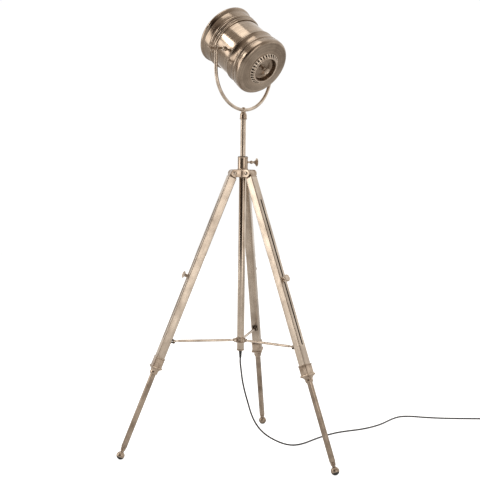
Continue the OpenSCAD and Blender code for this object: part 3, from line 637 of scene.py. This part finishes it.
class LAMP_OT_stage(bpy.types.Operator):
    """Sets the camera, the pale floor and the soft studio light"""

    bl_idname = "lamp.stage"
    bl_label = "Stage"

    FLOOR_BOUNCE = 0.28
    FRONT = (-0.26, -0.966, 0.0)
    SHEET = 1.02

    def execute(self, context):
        scene = context.scene
        stage = scene.lamp_stage
        camera = linked("camera", bpy.data.cameras.new("camera"))
        camera.data.lens = stage.lens
        camera.data.sensor_width = 36
        camera.data.clip_end = 60
        ahead = Vector(stage.aim).normalized()
        level = ahead.cross(Vector((0, 0, 1))).normalized()
        above = level.cross(ahead)
        side = level * cos(stage.roll) + above * sin(stage.roll)
        up = side.cross(ahead)
        turn = Matrix((side, up, -ahead)).transposed()
        camera.matrix_world = Matrix.Translation(stage.eye) @ turn.to_4x4()
        scene.camera = camera
        self.floor(stage)
        self.world(scene)
        self.lights()
        scene.view_settings.view_transform = "Standard"
        return {"FINISHED"}

    def floor(self, stage):
        """Pale floor that glows; only a share of the glow, FLOOR_BOUNCE, falls on the lamp."""
        bm = bmesh.new()
        bmesh.ops.create_circle(bm, cap_ends=True, radius=9, segments=96)
        floor = meshed("floor", bm)
        material, tree, shader, vector = new_material("pale_floor")
        pale = tuple(stage.floor)
        duller = tuple(c * 0.985 for c in pale)
        seen = add(tree, "ShaderNodeLightPath").outputs["Is Camera Ray"]
        glow = add(tree, "ShaderNodeMapRange", {
            "Value": seen, 3: self.FLOOR_BOUNCE * stage.floor_glow, 4: stage.floor_glow})
        join(tree, shader, {
            "Base Color": ramp(tree, noise(tree, vector, 2.0, 3.0), [(0.3, duller), (0.7, pale)]),
            "Roughness": 0.9, "Specular IOR Level": 0.1,
            "Emission Color": (1, 1, 1, 1), "Emission Strength": glow.outputs[0]})
        floor.data.materials.append(material)

    def world(self, scene):
        """White studio: a pale backdrop behind the lamp, a dimmer room, and a dark opening in FRONT.

        The camera sees a plain white sheet instead of the room.
        """
        world = bpy.data.worlds.new("studio")
        scene.world = world
        world.use_nodes = True
        tree = world.node_tree
        room = tree.nodes["Background"]
        spot = add(tree, "ShaderNodeTexCoord")
        toward = add(tree, "ShaderNodeVectorMath", {
            0: spot.outputs["Generated"], 1: self.FRONT}, operation="DOT_PRODUCT")
        level = add(tree, "ShaderNodeMapRange", {"Value": toward.outputs["Value"], 1: -1.0, 2: 1.0})
        join(tree, room, {"Color": ramp(tree, level.outputs[0], [
            (0.0, (1.10, 1.08, 1.06)), (0.35, (1.02, 1.0, 0.98)), (0.5, (0.56, 0.51, 0.46)),
            (0.84, (0.44, 0.385, 0.335)), (0.91, (0.20, 0.16, 0.13)), (0.95, (0.045, 0.030, 0.022)),
            (1.0, (0.03, 0.020, 0.015))])})
        sheet = add(tree, "ShaderNodeBackground", {"Color": (1, 1, 1, 1), "Strength": self.SHEET})
        path = add(tree, "ShaderNodeLightPath")
        seen = add(tree, "ShaderNodeMixShader", {
            "Fac": path.outputs["Is Camera Ray"], 1: room.outputs[0], 2: sheet.outputs[0]})
        join(tree, tree.nodes["World Output"], {"Surface": seen.outputs[0]})

    def lights(self):
        """Softboxes: (name, place, size across, size up, power, colour), each turned to the lamp's middle."""
        middle = Vector((0, 0, 0.9))
        boxes = [
            ("left_card", (-3.15, -1.27, 1.3), 1.7, 2.4, 28, (1.0, 0.99, 0.975)),
            ("right_card", (2.27, -2.53, 1.2), 1.4, 2.6, 16, (1.0, 0.985, 0.965)),
            ("head_key", (-2.4, -1.3, 2.9), 0.6, 0.9, 11, (1.0, 1.0, 0.99)),
            ("top_softbox", (-0.4, -0.4, 4.0), 1.4, 1.4, 12, (1.0, 0.99, 0.97)),
        ]
        for name, place, across, tall, power, colour in boxes:
            light = bpy.data.lights.new(name, "AREA")
            light.shape = "RECTANGLE"
            light.size = across
            light.size_y = tall
            light.energy = power
            light.color = colour
            lamp = linked(name, light)
            lamp.location = place
            lamp.rotation_euler = (middle - Vector(place)).to_track_quat("-Z", "Y").to_euler()


# ---------------------------------------------------------------- lead

# Route of the lead from its gland to the coil, in millimetres, and on from the coil to its plug
LEAD_ROUTE = [
    (0, 0, 340), (0, 0, 322), (3, 2, 295), (8, 5, 255), (16, 10, 215), (27, 17, 172),
    (38, 24, 132), (52, 33, 98), (70, 44, 70), (92, 59, 47), (118, 76, 28), (146, 94, 13),
    (172, 112, 5), (196, 134, 3), (216, 166, 3), (234, 210, 3), (255, 258, 3), (281, 308, 3),
    (313, 354, 3), (351, 392, 3), (392, 428, 3), (430, 476, 3), (462, 534, 3), (484, 594, 3),
    (505, 650, 3), (532, 692, 3), (570, 708, 3), (618, 706, 3), (676, 707, 3), (738, 716, 3),
    (800, 730, 3), (856, 743, 3), (890, 750, 3), (904, 752, 3),
]
TAIL_ROUTE = [
    (949, 812, 3), (948, 822, 3), (945, 832, 3), (943, 842, 3),
]
LEAD_SIDES = 14
ROUTE_STEPS = 4
COIL_CENTRE = (916, 786)
COIL_RADIUS = 33.0
COIL_TURNS = 5
COIL_STEPS = 20
# Turns at which the lead starts to climb, starts its upper turns, and starts to come down
COIL_CLIMB, COIL_UPPER, COIL_FALL = 2.85, 2.9, 4.9
# Turns that the climb and the way down take, and the upper turns' pitch in lead widths
CLIMB_TURNS, FALL_TURNS, UPPER_PITCH = 0.3, 0.35, 0.95


def coil_route(diameter):
    """Turns of the coil: three side by side on the floor, then two on top of them."""
    points = []
    for i in range(COIL_TURNS * COIL_STEPS + COIL_STEPS // 4 + 1):
        turn = i / COIL_STEPS
        angle = -pi / 2 + 2 * pi * turn
        layer = min(1.0, max(0.0, (turn - COIL_CLIMB) / CLIMB_TURNS))
        across = turn - COIL_UPPER / 2 if turn < COIL_UPPER else 1.0 - UPPER_PITCH * (turn - COIL_UPPER)
        radius = COIL_RADIUS - across * diameter
        height = diameter / 2 + layer * diameter
        if turn > COIL_FALL:
            fall = min(1.0, (turn - COIL_FALL) / FALL_TURNS)
            radius = COIL_RADIUS + diameter * fall
            height = diameter / 2 + (1 - fall) * diameter
        points.append((COIL_CENTRE[0] + radius * cos(angle), COIL_CENTRE[1] + radius * sin(angle), height))
    return points


def smooth_path(points):
    """Catmull-Rom curve through the route."""
    path = []
    for i in range(len(points) - 1):
        a, b, c, d = (Vector(points[min(max(k, 0), len(points) - 1)]) for k in (i - 1, i, i + 1, i + 2))
        for k in range(ROUTE_STEPS):
            t = k / ROUTE_STEPS
            path.append(0.5 * (2 * b + (c - a) * t + (2 * a - 5 * b + 4 * c - d) * t * t
                               + (3 * b - a - 3 * c + d) * t ** 3))
    path.append(Vector(points[-1]))
    return path


def tube_mesh(name, path, radius):
    """Round tube swept along a path, with a grain coordinate that runs along it."""
    bm = bmesh.new()
    grain = []
    rows = []
    side = Vector((1, 0, 0))
    run = 0.0
    for i, point in enumerate(path):
        ahead = (path[min(i + 1, len(path) - 1)] - path[max(i - 1, 0)]).normalized()
        side = (side - ahead * side.dot(ahead)).normalized()
        other = ahead.cross(side)
        if i:
            run += (point - path[i - 1]).length
        row = []
        for k in range(LEAD_SIDES):
            a = 2 * pi * k / LEAD_SIDES
            row.append(bm.verts.new(point + (side * cos(a) + other * sin(a)) * radius))
            grain.append(Vector((radius * cos(a), radius * sin(a), run)) * MM)
        rows.append(row)
    for row, after in zip(rows, rows[1:]):
        skin(bm, row, after)
    bm.faces.new(list(reversed(rows[0])))
    bm.faces.new(rows[-1])
    return finish_mesh(name, bm, Matrix.Identity(4), grain, 60)


class LAMP_OT_lead(bpy.types.Operator):
    """Makes the mains lead, its coil, tie, plug and strain relief"""

    bl_idname = "lamp.lead"
    bl_label = "Lead"

    def execute(self, context):
        diameter = context.scene.lamp_sizes.lead_diameter / MM
        path = smooth_path(LEAD_ROUTE + coil_route(diameter)[1:] + TAIL_ROUTE)
        path = [Vector((p.x, p.y, max(p.z, diameter / 2 + 0.1))) for p in path]
        lead = tube_mesh("mains_lead", path, diameter / 2)
        wear(lead, "lead", "stand", "black_cord", "cord", "cord_coil", "cord_tail")
        dress("nylon", "cord_tie")
        dress("rubber", "plug", "cord_gland")
        return {"FINISHED"}


# ---------------------------------------------------------------- head

class LAMP_OT_head(bpy.types.Operator):
    """Spins the head's shells: barrel, beaded bezel, rear cap, reflector and lens"""

    bl_idname = "lamp.head"
    bl_label = "Head shells"

    def execute(self, context):
        barrel = rounded([(98, -95.5, 0.3), (98, 103.5, 0.3), (96.4, 103.5), (96.4, -95.5)])
        lathed("barrel_shell", barrel, HEAD_PLACE, 160, "spun", "head", "spun_nickel", "head_barrel")
        lathed("bezel_shell", self.bezel(), HEAD_PLACE, 160, "spun", "head", "spun_nickel", "front_bezel")
        lathed("rear_shell", self.cap(), HEAD_PLACE, 160, "spun", "head", "spun_nickel", "rear_cap")
        bowl = [(24 + 69.4 * (k / 24) ** 0.5, -42 + 134 * k / 24) for k in range(25)]
        inside = [(r - 1.0, z + 0.5) for r, z in reversed(bowl)]
        bowl += [(96.2, 92.4), (96.2, 93.2), (92.6, 93.2), *inside[1:]]
        lathed("reflector_bowl", bowl, HEAD_PLACE, 128, "mirror", "head", "mirror_reflector", "reflector")
        lathed("front_glass", self.glass(), HEAD_PLACE, 128, "glass", "head", "lens_glass", "lens_glass")
        dress("lamp", "lamp_bulb")
        dress("bakelite", "lampholder")
        return {"FINISHED"}

    def glass(self):
        """Low dome of clear glass, from its edge to its middle and back."""
        edge, sweep = 97.3, 23
        front = [(edge * sin(radians(a)) / sin(radians(sweep)), 107.0 - 0.2 * (1 - a / sweep))
                 for a in range(sweep, -1, -2)]
        back = [(r, 104.4 + 1.6 * (1 - (r / edge) ** 2)) for r, z in reversed(front[:-1])]
        return [*front, (0, 106.8), (0, 106.0), *back]

    def bezel(self):
        """Skirt with two beads, a plain neck, and a flare into the rolled rim."""
        profile = [(98.2, 43.4), (98.5, 43.0), (100.6, 43.0), (101.1, 43.4), (101.2, 47.4)]
        profile += arc(101.2, 52.5, 3.0, -80, 80, 12, 4.4)
        profile += [(101.0, 57.8), (100.9, 61.2)]
        profile += arc(101.2, 67.0, 3.9, -80, 80, 12, 5.0)
        profile += [(101.4, 72.9), (102.4, 73.6), (102.9, 74.6), (103.0, 97.6), (103.6, 99.6)]
        profile += arc(103.0, 110.6, 7.0, -48, 178, 26)
        profile += [(93.4, 109.6), (93.2, 108.4), (93.4, 107.7), (98.2, 107.7)]
        return profile

    def cap(self):
        """Beaded skirt, raised shoulder, round corner and a low domed back."""
        profile = [(98.2, -31.4), (98.5, -31.0), (99.9, -31.0), (100.4, -31.5), (100.4, -33.2)]
        profile += arc(100.4, -37.6, 2.2, 78, -78, 12, 4.4)
        profile += [(100.5, -42.4), (100.5, -67.2)]
        profile += arc(100.6, -73.6, 3.1, 78, -78, 12, 5.6)
        profile += [(101.5, -79.6), (101.9, -80.6), (101.9, -84.2), (102.6, -85.0), (103.9, -85.4)]
        profile += [(105.0, -86.3), (105.5, -87.8)]
        profile += arc(93.5, -101.0, 12.0, 0, -84, 16)
        profile += [(88.5, -113.9), (82.0, -114.9), (74.0, -116.0), (66.5, -116.8), (61.0, -117.1)]
        profile += [(59.4, -117.0), (58.8, -116.4), (58.8, -115.0)]
        profile += [(66.5, -114.8), (82.0, -112.9), (94.0, -111.0), (100.4, -107.6), (103.2, -102.0)]
        profile += [(103.2, -88.0), (98.2, -84.0)]
        return profile


class LAMP_OT_vents(bpy.types.Operator):
    """Makes the ring of vent ribs, a dark sheet behind them as painted shade in the slots, the cup inside it
    and the rear knob
    """

    bl_idname = "lamp.vents"
    bl_label = "Rear vent ring"

    OUTER = (58.6, -117.2)
    INNER = (48.4, -126.4)
    RIB_DEPTH = 0.0022

    def execute(self, context):
        sizes = context.scene.lamp_sizes
        (r0, z0), (r1, z1) = self.OUTER, self.INNER
        hoops = [
            arc(r0 - 0.4, z0 - 0.3, 1.4, 180, -160, 16),
            arc(46.8, -127.0, 2.0, 180, -160, 18),
            rounded([(48.4, -124.8, 0.4), (50.2, -123.4, 0.4), (50.2, -121.4, 0.4), (48.4, -122.0, 0.4)]),
        ]
        ring = lathe("vent_ring_ribs", hoops, Matrix.Identity(4), 128)
        self.ribs(ring, {
            "Vents": sizes.vents, "Rib Width": sizes.vent_rib,
            "Rib Length": hypot(r0 - r1, z0 - z1) * MM, "Rib Depth": self.RIB_DEPTH,
            "Radius": (r0 + r1) / 2 * MM, "Height": (z0 + z1) / 2 * MM,
            "Slope": pi / 2 + atan2(z1 - z0, r0 - r1), "Metal": finishes()["turned"]})
        ring.data.transform(Matrix.Scale(MM, 4) @ HEAD_PLACE @ Matrix.Scale(1 / MM, 4))
        wear(ring, "turned", "head", "spun_nickel", "vent_ring")
        # Painted shade: a thin dark cone behind the ribs, so that the slots between them read dark
        baffle = [(57.4, -114.6), (47.2, -122.6), (46.4, -121.8), (56.6, -113.8)]
        lathed("vent_shade_baffle", baffle, HEAD_PLACE, 96, "dark", "head", "dark_steel")
        cup = [(44.9, -113.0), (45.0, -126.8)]
        cup += arc(44.0, -126.9, 1.0, 0, -180, 8)
        cup += [(42.6, -125.6), (42.3, -114.0), (41.2, -110.6), (38.4, -108.6), (30.0, -107.6)]
        cup += [(16.0, -107.0), (12.4, -107.2), (11.6, -108.4), (9.6, -108.8), (8.8, -107.6), (0, -107.4)]
        cup += [(0, -105.8), (38.0, -106.6), (43.0, -109.4)]
        lathed("rear_cup_spun", cup, HEAD_PLACE, 128, "spun", "head", "spun_nickel", "rear_cup")
        spot = HEAD_PLACE @ moved(0, 0, -108) @ turned(180, "X")
        knob = trumpet(4, 7, 6, 11)
        lathed("rear_knob_turned", knob, spot, 64, "turned", "head", "bright_nickel", "rear_knob")
        return {"FINISHED"}
    def ribs(self, ring, values):
        """Geometry Nodes: half-round ribs laid down the cone of the ring."""
        tree = bpy.data.node_groups.new("Vent Ribs", "GeometryNodeTree")
        tree.interface.new_socket("Geometry", in_out="INPUT", socket_type="NodeSocketGeometry")
        kinds = {"Vents": "NodeSocketInt", "Metal": "NodeSocketMaterial"}
        ids = {}
        for label in values:
            socket = tree.interface.new_socket(
                label, in_out="INPUT", socket_type=kinds.get(label, "NodeSocketFloat"))
            ids[label] = socket.identifier
        tree.interface.new_socket("Geometry", in_out="OUTPUT", socket_type="NodeSocketGeometry")
        given = tree.nodes.new("NodeGroupInput").outputs
        out = tree.nodes.new("NodeGroupOutput")
        rib = add(tree, "GeometryNodeMeshCylinder", {
            "Vertices": 14, "Radius": maths(tree, "MULTIPLY", given["Rib Width"], 0.5),
            "Depth": given["Rib Length"]})
        flat = maths(tree, "DIVIDE", given["Rib Depth"], given["Rib Width"])
        squash = add(tree, "ShaderNodeCombineXYZ", {"X": flat, "Y": 1.0, "Z": 1.0})
        low = add(tree, "GeometryNodeTransform", {
            "Geometry": rib.outputs["Mesh"], "Scale": squash.outputs[0]})
        circle = add(tree, "GeometryNodeMeshCircle", {
            "Vertices": given["Vents"], "Radius": given["Radius"]})
        lift = add(tree, "ShaderNodeCombineXYZ", {"Z": given["Height"]})
        raised = add(tree, "GeometryNodeTransform", {
            "Geometry": circle.outputs["Mesh"], "Translation": lift.outputs[0]})
        number = add(tree, "GeometryNodeInputIndex").outputs[0]
        about = maths(tree, "MULTIPLY", maths(tree, "DIVIDE", number, given["Vents"]), 2 * pi)
        turn = add(tree, "ShaderNodeCombineXYZ", {"Y": given["Slope"], "Z": about})
        laid = add(tree, "GeometryNodeInstanceOnPoints", {
            "Points": raised.outputs[0], "Instance": low.outputs[0], "Rotation": turn.outputs[0]})
        joined = add(tree, "GeometryNodeJoinGeometry", {0: given["Geometry"]})
        join(tree, joined, {0: laid.outputs[0]})
        real = add(tree, "GeometryNodeRealizeInstances", {"Geometry": joined.outputs[0]})
        dressed = add(tree, "GeometryNodeSetMaterial", {
            "Geometry": real.outputs[0], "Material": given["Metal"]})
        join(tree, out, {0: dressed.outputs[0]})
        modifier = ring.modifiers.new("ribs", "NODES")
        modifier.node_group = tree
        for label, value in values.items():
            modifier[ids[label]] = value
        baked(ring)
        ring.data.shade_smooth()
        ring.data.set_sharp_from_angle(angle=radians(38))


# ---------------------------------------------------------------- yoke and mast

class LAMP_OT_yoke(bpy.types.Operator):
    """Makes the rod yoke, its base and nut, the tilt pivots and the wing nuts"""

    bl_idname = "lamp.yoke"
    bl_label = "Yoke"

    def execute(self, context):
        top = MAST_TOP
        here = Matrix.Identity(4)
        softened("yoke_rod", "yoke", 1.0, 3, "rod", "yoke", "polished_nickel")
        base = [(8.1, 0), (13.0, 0), (13.4, 0.5), (13.4, 2.3), (12.9, 3.0), (12.2, 3.8), (12.2, 13.6)]
        base += [(11.9, 15.8), (11.2, 18.6), (10.1, 21.2), (9.0, 23.2), (8.3, 25.0), (8.3, 26.4)]
        base += [(9.0, 27.6), (9.7, 28.6), (9.8, 32.0), (9.4, 32.6), (0, 32.6), (0, 20.6), (8.1, 20.4)]
        base = [(r, top + z) for r, z in base]
        lathed("yoke_base_turned", base, here, 72, "cast", "yoke", "cast_nickel", "yoke_base")
        dome = [(0, top + 33.1), (9.3, top + 33.1), *arc(0, top + 33.2, 9.8, 3, 87, 14), (0, top + 43.0)]
        lathed("yoke_nut_dome", dome, here, 64, "turned", "yoke", "bright_nickel", "yoke_ball_nut")
        dress("dark", "yoke_bolt")
        bm = bmesh.new()
        grain = []
        for side in (-1, 1):
            stud = [(0, 92.0), (8.0, 92.0), (8.0, 96.2), (4.0, 96.2), (4.0, 98.4), (9.0, 98.4), (9.0, 101.4)]
            stud += [(8.2, 102.2), *arc(0, 106.0, 7.4, -24, 58, 12), (4.0, 112.6), (4.0, 129.8)]
            stud += [(8.6, 129.9), (9.0, 130.3), (9.0, 132.7), (8.6, 133.1), (4.0, 133.1)]
            stud += [(4.0, 164.2), (3.4, 164.9), (0, 164.9)]
            spin(bm, stud, 48, grain, turned(90 * side, "Y"))
        piece = finish_mesh("tilt_studs", bm, TILT_PLACE, grain)
        wear(piece, "turned", "head", "bright_nickel", "pivot_studs")
        for side in ("left", "right"):
            knob = f"tilt_knob_{side}"
            softened(f"wing_nut_{side}", knob, 0.55, 4, "cast", knob, "cast_nickel")
        return {"FINISHED"}


class LAMP_OT_column(bpy.types.Operator):
    """Makes the mast, the column, the hub casting, its bolts and the thumb screw"""

    bl_idname = "lamp.column"
    bl_label = "Column and hub"

    BOLT_HALF = 20.8

    def execute(self, context):
        here = Matrix.Identity(4)
        low, high = (corner[2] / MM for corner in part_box("mast_tube"))
        mast = rounded([(9.5, low, 0.5), (9.5, MAST_TOP - 0.2, 0.5), (6.5, MAST_TOP - 0.2), (6.5, low)])
        lathed("mast_polished", mast, here, 64, "mast", "mast", "polished_nickel", "mast_tube")
        low, high = (corner[2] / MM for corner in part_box("column_tube"))
        column = rounded([(12.7, low, 0.3), (12.7, high, 0.3), (11.1, high), (11.1, low)])
        lathed("column_polished", column, here, 72, "tube", "stand", "polished_nickel", "column_tube")
        cap = rounded([
            (5.6, low - 5.0), (13.0, low - 5.0, 0.5), (13.3, low - 2.4, 0.2), (14.0, low - 2.2, 0.3),
            (14.0, low - 0.1, 0.5), (12.6, low - 0.1), (5.6, low - 0.1)])
        lathed("column_cap_turned", cap, here, 64, "cast", "stand", "cast_nickel", "column_end_cap")
        softened("hub_cast", "hub_casting", 0.85, 4, "cast", "stand", "cast_nickel")
        bm = bmesh.new()
        grain = []
        half = self.BOLT_HALF
        bolt = [(0, -half - 4.6), *arc(0, -half, 7.0, -88, -6, 10, 4.6)]
        bolt += [(7.0, -half + 0.02), (4.0, -half + 0.02)]
        bolt += [(r, -z) for r, z in reversed(bolt)]
        across = moved(LEG_PIVOT_R, 0, LEG_PIVOT_Z) @ turned(90, "X")
        for angle in SIDES.values():
            spin(bm, bolt, 40, grain, turned(angle, "Z") @ across)
        piece = finish_mesh("leg_bolt_domes", bm, here, grain)
        wear(piece, "turned", "stand", "bright_nickel", "leg_bolts")
        dress("nylon", "mast_bush")
        spot = turned(30, "Z") @ moved(18, 0, LEG_PIVOT_Z + 40) @ turned(90, "Y")
        screw = trumpet(3.5, 9, 6.5, 15, -8.2)
        lathed("thumb_screw_turned", screw, spot, 56, "turned", "thumb_screw", "cast_nickel", "thumb_screw")
        return {"FINISHED"}


# ---------------------------------------------------------------- legs and braces

class LAMP_OT_legs(bpy.types.Operator):
    """Makes the three telescopic legs with their fittings and clamp knobs"""

    bl_idname = "lamp.legs"
    bl_label = "Legs"

    LENGTH = 1063.0
    FERRULE = 697.0
    KNOB = 397.0

    def execute(self, context):
        corner = context.scene.lamp_sizes.tube_corner / MM
        for side in SIDES:
            place = leg_place(side)
            leg, lower, knob = f"leg_{side}", f"lower_leg_{side}", f"leg_knob_{side}"
            softened(f"leg_fork_{side}", f"leg_top_{side}", 0.7, 4, "cast", leg, "cast_nickel")
            tube = slotted_tube(
                f"leg_tube_{side}", 15.0, 1.8, corner, [17.6, 103.0, 630.0, 733.0], 6.0, place)
            wear(tube, "brushed", leg, "brushed_nickel", f"upper_leg_{side}")
            ferrule = loft(f"leg_ferrule_{side}", self.ferrule(), place)
            wear(ferrule, "cast", leg, "cast_nickel", f"ferrule_{side}")
            lathed(f"leg_foot_{side}", self.foot(), place, 64, "satin", lower, "polished_nickel", lower)
            spot = place @ moved(15.2, 0, -self.KNOB) @ turned(90, "Y")
            lathed(f"clamp_knob_{side}", self.knob(), spot, 56, "turned", knob, "cast_nickel", knob)
            dress("dark", f"slider_{side}")
            dress("rubber", f"foot_glide_{side}")
        return {"FINISHED"}

    def ferrule(self):
        """Square socket with a lip, a bevelled flange, and an ogee down to the round leg."""
        at = self.FERRULE
        outer = [
            (0, 15.2, 2.8), (0, 17.6, 3.4), (0.5, 18.1, 3.6), (3.4, 18.1, 3.6), (3.9, 17.7, 3.4),
            (4.2, 16.7, 3.0), (5.6, 16.5, 3.0), (6.0, 16.9, 3.0), (32.8, 16.9, 3.0), (33.4, 17.4, 3.2),
            (34.2, 19.4, 3.8), (35.0, 19.9, 4.0), (38.6, 19.9, 4.0), (40.0, 19.2, 4.4), (40.8, 18.2, 5.0),
            (41.6, 17.2, 7.0), (43.4, 16.0, 9.0), (46.0, 14.9, 12.0), (49.5, 14.0, 13.6), (53.0, 13.5, 13.4),
            (54.4, 13.9, 13.8), (56.2, 14.1, 14.0), (57.6, 13.8, 13.7), (58.4, 13.2, 13.1),
            (61.2, 13.0, 12.9), (61.9, 12.4, 12.3), (62.0, 10.2, 10.1), (36.4, 10.2, 10.1), (36.2, 15.2, 2.8)]
        return [(at + depth, half, corner) for depth, half, corner in outer]

    def foot(self):
        """Round leg with a turned neck and its ball."""
        end = -self.LENGTH
        profile = [(0, -421.0), (9.4, -421.0), (10.0, -421.6), (10.0, end + 31.2), (9.4, end + 30.4)]
        profile += [(8.0, end + 29.6), (7.9, end + 28.4), *arc(8.0, end + 26.0, 1.5, 70, -70, 8, 2.2)]
        profile += [(7.6, end + 23.2), (8.6, end + 21.8), (8.7, end + 20.6), (7.2, end + 18.6)]
        profile += [(6.2, end + 16.4), (6.1, end + 14.6)]
        profile += arc(0, end, 14.5, 64, -20, 18)
        profile += [(0, end - 5.0)]
        return profile

    def knob(self):
        """Clamp knob: washer, waisted stem, and a dished round head."""
        return [
            (0, -14.0), (2.8, -14.0), (2.8, 0), (8.6, 0), (9.0, 0.4), (9.0, 2.0), (8.6, 2.4), (5.4, 2.5),
            (5.0, 3.0), (5.0, 5.0), (5.6, 5.8), (6.4, 6.8), (6.5, 8.6), (5.9, 9.8), (5.5, 10.6), (6.2, 11.6),
            (8.0, 12.7), (10.6, 13.7), (12.5, 14.6), (13.0, 15.6), (12.9, 16.8), (12.2, 17.9), (11.0, 18.5),
            (9.6, 18.5), (9.0, 17.8), (8.2, 17.4), (4.6, 17.5), (3.6, 17.0), (0, 17.0)]


class LAMP_OT_braces(bpy.types.Operator):
    """Makes the brace collar, its pins, the three braces and their brackets"""

    bl_idname = "lamp.braces"
    bl_label = "Braces"

    def execute(self, context):
        softened("brace_collar_cast", "brace_collar", 0.6, 4, "cast", "brace_collar", "cast_nickel")
        dress("turned", "brace_collar_pins")
        for side in SIDES:
            brace, lug = f"brace_{side}", f"brace_lug_{side}"
            softened(f"brace_rod_{side}", brace, 0.6, 3, "rod", brace, "polished_nickel")
            softened(f"brace_bracket_{side}", lug, 0.5, 3, "dark", f"leg_{side}", "dark_steel")
        return {"FINISHED"}


# ---------------------------------------------------------------- panel

class LAMP_PT_panel(bpy.types.Panel):
    """Lists the steps that build the lamp"""

    bl_idname = "LAMP_PT_panel"
    bl_label = "Tripod Lamp"
    bl_space_type = "VIEW_3D"
    bl_region_type = "UI"
    bl_category = "Lamp"

    def draw(self, context):
        for step in STEPS:
            self.layout.operator(step.bl_idname)


STEPS = (LAMP_OT_stage, LAMP_OT_lead, LAMP_OT_head, LAMP_OT_vents, LAMP_OT_yoke, LAMP_OT_column,
         LAMP_OT_legs, LAMP_OT_braces)
SETTINGS = {"lamp_finish": LampFinish, "lamp_sizes": LampSizes, "lamp_stage": LampStage}


def register():
    for kind in (*SETTINGS.values(), *STEPS, LAMP_PT_panel):
        bpy.utils.register_class(kind)
    for name, kind in SETTINGS.items():
        setattr(bpy.types.Scene, name, PointerProperty(type=kind))


def unregister():
    for name in SETTINGS:
        delattr(bpy.types.Scene, name)
    for kind in reversed((*SETTINGS.values(), *STEPS, LAMP_PT_panel)):
        bpy.utils.unregister_class(kind)


def main():
    register()
    bpy.ops.lamp.stage()
    bpy.ops.lamp.lead()
    bpy.ops.lamp.head()
    bpy.ops.lamp.vents()
    bpy.ops.lamp.yoke()
    bpy.ops.lamp.column()
    bpy.ops.lamp.legs()
    bpy.ops.lamp.braces()
    bpy.context.view_layer.update()


if __name__ == "__main__":
    main()
